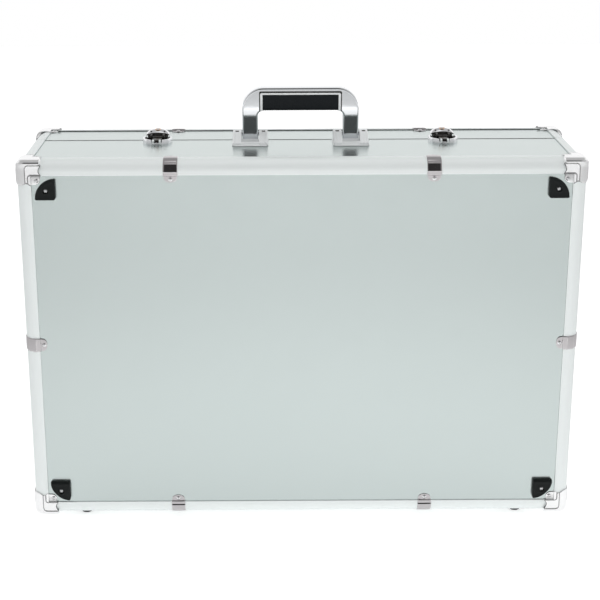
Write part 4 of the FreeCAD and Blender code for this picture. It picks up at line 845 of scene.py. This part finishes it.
def bracket_shells(centre):
    """A bracket as plates across X: two cheeks with a notched middle layer, a floor between them and a
    front rim, on a thin flange."""
    start, end, low_rim, flange = PIVOT_Y - 27.0, PIVOT_Y + 10.0, WALL_TOP + 5.5, 23.2
    across = plates_at(centre)
    back = [(start, WALL_TOP), (end, WALL_TOP), (end, CHEEK_TOP)]
    front = [(start + 5, low_rim + 0.6), (start, low_rim - 1.2)]
    notch = [(PIVOT_Y + u, CHEEK_TOP + v)
             for u, v in ((1.7, 0), (1.7, -3.0), (-4.6, -3.0), (-4.6, -0.3), (-7, -0.3))]
    plain = (back + [(PIVOT_Y - 7, CHEEK_TOP)] + front, [0.3, 1.5, 2.2, 3.0, 2.0, 1.0])
    notched = (back + notch + front, [0.3, 1.5, 2.2, 0.15, 0.15, 0.15, 0.15, 1.5, 2.0, 1.0])
    shells = []
    for sign in (1, -1):
        for (outline, radii), near, far, edge in ((plain, 11.25, 14.65, 0.5), (notched, 14.45, 19.05, 0.05),
                                                  (plain, 18.85, 22.25, 1.3)):
            shells.append(slab(outline, radii, across, *sorted((sign * near, sign * far)), edge))
    floor = [(start + 3, WALL_TOP), (end - 1, WALL_TOP), (end - 1, WALL_TOP + 2.5),
             (start + 3, WALL_TOP + 2.5)]
    shells.append(slab(floor, 0.2, across, -12.0, 12.0, 0.1))
    rim = [(start, WALL_TOP), (start + 5, WALL_TOP), (start + 5, low_rim), (start + 1.2, low_rim - 0.4)]
    shells.append(slab(rim, [0.4, 0.2, 0.8, 1.2], across, -20.5, 20.5, 0.3))
    plate = [(centre - flange, start - 1.0), (centre + flange, start - 1.0), (centre + flange, end + 0.4),
             (centre - flange, end + 0.4)]
    shells.append(slab(plate, [4.5, 4.5, 2.0, 2.0], stacked, WALL_TOP, WALL_TOP + 1.6, 0.7))
    return shells


def bracket_slot_shade(centre):
    """Painted shade: black sheets in the notches at the cheeks' tops, standing for the shadow in their
    hollows.
    """
    outline = np.array([(-4.7, -3.2), (1.8, -3.2), (1.8, -0.2), (0.9, -0.2), (0.6, -2.7), (-4.7, -2.7)])
    outline += (PIVOT_Y, CHEEK_TOP)
    return [slab(outline, 0.1, plates_at(centre), low, low + 5.0, 0.05) for low in (-19.2, 14.2)]


for name, centre in (("left", -64.4), ("right", 64.4)):
    piece("handle_bracket_cast_" + name, bracket_shells(centre), casting, "base", "satin_bracket",
          "handle_bracket_" + name)
    # Painted shade in the brackets' notches.
    piece("handle_bracket_slot_shade_" + name, bracket_slot_shade(centre), painted_shade_black, "base", "satin_bracket")


# Latches, all drawn for the right one


DISH_CENTRE = np.array([184.5, 17.5, WALL_TOP])
DISH_RADIUS, DISH_HEIGHT, DISH_LIP, BOWL_RADIUS, BOWL_FLOOR = 19.0, 5.6, 1.2, 16.0, 1.2


def cut_circle(angle, radius, gap):
    """How far from the dish's centre a straight cut before the seam lies, and a circle softly cut by it."""
    cut = (BASE_END - DISH_CENTRE[1] - gap) / np.maximum(np.sin(angle), 1e-6)
    return cut, (cut ** -24 + radius ** -24.0) ** (-1 / 24)


def dish_shell():
    """The latch dish: rings round its centre run up the outside, over a round lip and down the bowl. Each
    radius stops at the straight cut by the seam, and the lip sinks there and in the finger notch."""
    angle = around(144)
    cut, full = cut_circle(angle, DISH_RADIUS, 0.05)
    full = np.minimum(DISH_RADIUS, full)
    bowl = np.minimum(BOWL_RADIUS, cut - 1.2)
    notch = smooth((np.abs(angle - 1.5 * math.pi) - 0.345) / 0.06)
    sink = (0.35 + 0.65 * notch) * (1 - 0.55 * smooth((DISH_RADIUS - 2.0 - full) / 2.0))
    wall = DISH_HEIGHT - DISH_LIP
    rings = [(full, 0), (full, wall * sink)]
    for turn in np.linspace(0.25, 1, 5) * math.pi:
        radius = full + (bowl - full) * (1 - math.cos(turn)) / 2
        rings.append((radius, (wall + DISH_LIP * math.sin(turn)) * sink))
    rings += [(bowl - 0.6, BOWL_FLOOR + 0.7), (bowl - 1.6, BOWL_FLOOR), (0.02 * bowl, BOWL_FLOOR)]
    return skin(np.array([stacked(r * np.cos(angle), r * np.sin(angle), h) for r, h in rings]) + DISH_CENTRE)


def dish_lining():
    """Painted shade in the bowl, standing for its shadow under the hasp: a black shallow dished disc whose
    height grows with the fourth power of the share of its radius."""
    angle = around(96)
    edge = cut_circle(angle, 15.9, 1.4)[1]
    share = np.append(np.linspace(0.02, 1, 14), 0.999)[:, None]
    lift = 1.5 + 2.6 * share ** 4
    lift[-1] = 1.0
    return skin(stacked(edge * share * np.cos(angle), edge * share * np.sin(angle), lift) + DISH_CENTRE)


def across_latch(u, v, t):
    """Plates across X at the latch: u behind the dish's centre, v above the wall."""
    return stacked(t, u, v) + DISH_CENTRE


def pair(corners, radii, near, far, rim):
    """Two like plates, one each side of the latch's middle."""
    return [slab(corners, radii, across_latch, low, high, rim) for low, high in ((near, far), (-far, -near))]


def at_latch(profile, place, axis, count):
    """A turned piece at a place counted from the dish's centre."""
    return turned(profile, DISH_CENTRE + place, axis, count)


def hasp_dome():
    """The hasp's pressed dome: across it the height is half an ellipse over the edge height, and along it the
    crown rises by a sine from the lever's side and falls again to the nose."""
    rim = 6.2
    share, run = np.meshgrid(np.sin(np.linspace(-math.pi / 2, math.pi / 2, 41)), np.linspace(0, 1, 31),
                             indexing="ij")
    half = 15.2 - 4.2 * smooth((run - 0.45) / 0.55)
    crown = 9.5 + 4.3 * np.sin(math.pi * (0.02 + 0.86 * run)) ** 0.8
    height = rim + (crown - rim) * np.sqrt(np.maximum(1 - share ** 2, 0)) ** 0.9
    points = stacked(half * share, 7.6 + 15.2 * run, height) + DISH_CENTRE
    normals = unit(np.cross(np.gradient(points, axis=0), np.gradient(points, axis=1))).reshape(-1, 3)
    points = points.reshape(-1, 3)
    return closed(points, points - normals * 1.5, cells(share.shape).reshape(-1, 4))


# The ears are black, painted shade under the hasp.
ears = pair([(3.1, 0.8), (6.8, 0.8), (6.8, 6.6), (3.1, 6.6)], [0.2, 0.2, 1.7, 1.7], 9.6, 12.0, 0.3)
prongs = pair([(-21.0, 0.8), (-19.3, 0.8), (-18.6, 3.2), (-15.0, 3.2), (-15.0, 5.6), (-20.2, 5.6),
               (-21.0, 5.0)], [0.3, 0.3, 0.3, 0.3, 0.3, 0.6, 0.5], 3.1, 5.5, 0.35)
# The lever's plate is black, painted shade under the hasp.
lever_plate = [slab([(-16.0, 3.2), (5.0, 3.2), (5.0, 5.2), (2.3, 5.2), (2.0, 6.7), (-2.0, 6.7), (-2.3, 5.2),
                     (-16.0, 5.2)], [0.3, 0.3, 0.3, 0.3, 1.2, 1.2, 0.3, 0.6], across_latch, -6.2, 6.2, 0.5),
               at_latch([(0.1, -6.2), (2.1, -6.2), (2.5, -5.8), (2.5, 5.8), (2.1, 6.2), (0.1, 6.2)],
                        (0, 5, 4.2), RIGHTWARD, 32),
               at_latch([(0.1, -9.0), (1.0, -9.0), (1.2, -8.8), (1.2, 8.8), (1.0, 9.0), (0.1, 9.0)],
                        (0, 0, 5.6), RIGHTWARD, 24)]
# The hasp's arms and studs are black, painted shade under the dome.
hasp_arms = [slab([(-13.2, 3.4), (13.2, 3.4), (13.2, 6.4), (9.6, 8.4), (4.8, 9.4), (-4.8, 9.4), (-9.6, 8.4),
                   (-13.2, 6.4)], [0.8, 0.8, 0.5, 2.0, 2.0, 2.0, 2.0, 0.5],
                  lambda u, v, t: stacked(u, t, v) + DISH_CENTRE, 8.3, 9.3, 0.2)]
hasp_arms += pair([(-2.3, 3.3), (2.3, 3.3), (10.4, 7.6), (10.4, 9.8), (7.5, 9.6), (-2.3, 7.9)],
                  [2.2, 1.6, 0.5, 0.5, 1.0, 2.2], 6.6, 9.0, 0.5)
stud = [(0.1, 12.0), (1.1, 12.0), (1.3, 11.6), (1.3, 9.5), (0.1, 9.5)]
hasp_arms += [at_latch(stud, (x, 10.4, 0), UPWARD, 20) for x in (8.6, -8.6)]
barrel = [(3.6, 10.6), (3.6, 13.5), (3.3, 13.9), (2.9, 14.0), (2.6, 13.8), (2.4, 13.5), (1.3, 13.5),
          (1.15, 13.2), (1.1, 12.1), (0.05, 12.1)]
lock = [at_latch(barrel, (0, 14.6, -0.1), unit(np.array([0, -0.12, 1.0])), 40)]
keeper = [slab([(9.5, 0.0), (24.5, 0.0), (24.5, 1.2), (23.0, 1.2), (23.0, 6.4), (20.4, 6.4), (20.4, 1.2),
                (9.5, 1.2)], [0.2, 0.2, 0.5, 0.5, 0.8, 0.8, 0.5, 0.2], across_latch, -10.0, 10.0, 0.35)]

# Painted shade: the bowl's disc, the ears, the lever's plate and the hasp's arms and studs are black,
# standing for the shadow under the hasp's dome.
for name, shells, metal, body, slot, node in (
        ("dish_ring", [dish_shell()], ring_metal, "base", "latch_chrome", "dish"),
        ("dish_lining", [dish_lining()] + ears, painted_shade_black, "base", "latch_chrome", None),
        ("lever_prongs", prongs, satin, "lever", "latch_chrome", "lever"),
        ("lever_plate", lever_plate, painted_shade_black, "lever", "latch_chrome", None),
        ("hasp_arch", [hasp_dome()], latch_metal, "hasp", "latch_chrome", "hasp"),
        ("hasp_arms", hasp_arms, painted_shade_black, "hasp", "latch_chrome", None),
        ("lock_barrel", lock, lock_brass, "hasp", "lock_brass", "lock"),
        ("keeper_catch", keeper, latch_metal, "lid", "latch_chrome", "keeper")):
    for hand, made in (("_right", shells), ("_left", flipped(shells, 0))):
        piece("latch_" + name + hand, made, metal, body if body in ("base", "lid") else body + hand, slot,
              node and "latch_" + node + hand)


# Inside: loop carpet on the board, convoluted foam in the lid


def inside_grid(half_x, half_z, columns, rows):
    """A grid over the case's inside: its x, its z from the middle, and the distance from its border."""
    x, z = np.meshgrid(np.linspace(-half_x, half_x, columns), np.linspace(-half_z, half_z, rows),
                       indexing="ij")
    return x, z, np.minimum(half_x - np.abs(x), half_z - np.abs(z))


def flat_backed(x, depth, z, back):
    """A relief over a grid, closed by a flat back at one depth."""
    front, under = (stacked(x, y, MIDDLE_Z + z).reshape(-1, 3) for y in (depth, back))
    return closed(front, under, cells(x.shape).reshape(-1, 4))


def carpet_shell():
    """Ribbed carpet: its height is a rib's arch across the board, waved a little along it, over the board."""
    board, pitch = -77.8, 5.0
    x, z, edge = inside_grid(337.8, 226.8, 811, 61)
    rib = np.abs(np.cos(math.pi * (x + 0.5 * np.sin((MIDDLE_Z + z) / 9.0)) / pitch)) ** 0.7
    return flat_backed(x, board + 1.2 + 1.7 * (1 - rib) * smooth(edge / 2.0), z, board)


def foam_shell():
    """Convoluted foam: its face towards the board is a grid of rounded peaks, the product of two cosines."""
    peak, back = 61.8, 91.6
    x, z, edge = inside_grid(340.6, 229.6, 277, 185)
    wave = np.cos(2 * math.pi * x / 34.06) * np.cos(2 * math.pi * z / 32.8)
    depth = peak + 8.0 * (1 - wave) * smooth(edge / 6.0) + 3.0 * (1 - smooth(edge / 5.0))
    return flat_backed(x, depth, z, back)


piece("pedal_board_loop_carpet", [carpet_shell()], pile, "base", "board_carpet", "pedal_board_carpet", 60)
foam = piece("lid_foam_convoluted", [foam_shell()], foam_skin, "lid", "foam_grey", "lid_foam_pad", 60)


# Studio


CAMERA_GLOW, FLOOR_GLOW, DIFFUSE_SHARE = 0.58, 0.46, 0.8


def floor_material():
    """A pale floor that takes the case's soft shadow and shows white to the camera. For the case its glow
    falls smoothly from the case's front to an ellipse of 1.5 by 1.35 metres."""
    material, tree = new_material("studio_floor")
    where = add(tree, "TexCoord").outputs["Object"]
    place = add(tree, "SeparateXYZ", {0: where}).outputs
    ray = add(tree, "LightPath").outputs
    squares = []
    for axis, move, amount, reach in (("X", "SUBTRACT", 0.06, 1.5), ("Y", "ADD", 0.25, 1.35)):
        share = calc(tree, "DIVIDE", calc(tree, move, place[axis], amount), reach)
        squares.append(calc(tree, "POWER", calc(tree, "ABSOLUTE", share), 2.0))
    mirrored = ramp(tree, calc(tree, "SQRT", calc(tree, "ADD", *squares)), 0.0, 1.0, FLOOR_GLOW, 0.0,
                    interpolation_type="SMOOTHSTEP")
    diffuse = calc(tree, "MULTIPLY", ray["Is Diffuse Ray"], DIFFUSE_SHARE)
    seen = calc(tree, "ADD", ray["Is Glossy Ray"], diffuse)
    glow = calc(tree, "ADD", calc(tree, "MULTIPLY", ray["Is Camera Ray"], CAMERA_GLOW),
                calc(tree, "MULTIPLY", seen, mirrored))
    paint = mixed(tree, noise(tree, where, 3.0, 2.0, 0.55), (0.93, 0.935, 0.935, 1), (0.95, 0.95, 0.95, 1))
    shade(tree, Base_Color=paint, Roughness=0.9, Specular_IOR_Level=0.1, Emission_Color=(1, 1, 1, 1),
          Emission_Strength=glow)
    return material


def studio_floor():
    """A flat sheet four metres each way from the case."""
    x, y = np.meshgrid(np.linspace(-4, 4, 3), np.linspace(-4, 4, 3), indexing="ij")
    mesh = bpy.data.meshes.new("studio_floor")
    points = stacked(x, y, -0.0002).reshape(-1, 3)
    mesh.from_pydata(points.tolist(), [], cells(x.shape).reshape(-1, 4).tolist())
    mesh.materials.append(floor_material())
    floor = bpy.data.objects.new("studio_floor", mesh)
    bpy.context.scene.collection.objects.link(floor)


def studio_world():
    """White behind the case for the camera. Reflections see a white cove at the horizon, a dark opening
    above it where the camera stands, a bright ceiling and mid grey walls aside and behind."""
    world = bpy.data.worlds.new("studio")
    world.use_nodes = True
    tree = world.node_tree
    tree.nodes.clear()
    x, y, z = add(tree, "SeparateXYZ", {0: add(tree, "TexCoord").outputs["Generated"]}).outputs
    cove = calc(tree, "MULTIPLY", ramp(tree, z, 0.08, -0.02), 0.98)
    wall_height = calc(tree, "ADD", calc(tree, "MULTIPLY", ramp(tree, z, 0.80, 0.52), 0.57), 0.42)
    behind = calc(tree, "MULTIPLY", ramp(tree, y, -0.12, 0.10), wall_height)
    aside = ramp(tree, calc(tree, "DIVIDE", calc(tree, "ABSOLUTE", x), calc(tree, "ABSOLUTE", y)), 0.28, 0.46,
                 0.0, 0.5)
    ceiling = ramp(tree, z, 0.978, 0.996)
    level = calc(tree, "MAXIMUM", calc(tree, "MAXIMUM", cove, calc(tree, "ADD", behind, 0.05)),
                 calc(tree, "MAXIMUM", ceiling, aside))
    to_camera = add(tree, "LightPath").outputs["Is Camera Ray"]
    strength = mixed(tree, to_camera, level, 1.0, "FLOAT")
    back = add(tree, "Background", {"Color": (1, 1, 1, 1), "Strength": strength})
    add(tree, "OutputWorld", {0: back.outputs[0]})
    bpy.context.scene.world = world


def lamp(name, place, target, size, power):
    """A soft rectangular lamp that looks at a target and isn't mirrored in the case."""
    data = bpy.data.lights.new(name, "AREA")
    data.shape = "RECTANGLE"
    data.size, data.size_y = size
    data.energy = power
    obj = bpy.data.objects.new(name, data)
    obj.location = place
    obj.rotation_euler = (Vector(target) - Vector(place)).to_track_quat("-Z", "Y").to_euler()
    obj.visible_glossy = False
    bpy.context.scene.collection.objects.link(obj)


def photo_camera():
    """The photograph's camera: placed and turned as fitted, with a small shift of the frame."""
    place, yaw, pitch, roll = (-0.04174, -1.70209, 0.87155), -0.0022, 0.2931, 0.004
    picture, focal, middle_x, middle_y = 600.0, 1358.3764, 271.2601, 240
    turn = (Matrix.Rotation(yaw, 4, "Z") @ Matrix.Rotation(math.pi / 2 - pitch, 4, "X")
            @ Matrix.Rotation(-roll, 4, "Z"))
    data = bpy.data.cameras.new("photo_camera")
    data.sensor_width = 36.0
    data.lens = focal * 36.0 / picture
    data.shift_x = (picture / 2 - middle_x) / picture
    data.shift_y = (middle_y - picture / 2) / picture
    data.dof.use_dof = False
    obj = bpy.data.objects.new("photo_camera", data)
    obj.matrix_world = Matrix.Translation(place) @ turn
    bpy.context.scene.collection.objects.link(obj)
    bpy.context.scene.camera = obj


studio_floor()
studio_world()
lamp("overhead_lamp", (0.0, -0.5, 2.6), (0, 0, 0.3), (2.4, 2.0), 16.0)
lamp("front_lamp", (0.1, -2.5, 0.9), (0, 0, 0.15), (2.2, 1.0), 17.0)
photo_camera()

scene = bpy.context.scene
scene.view_settings.view_transform = "Standard"
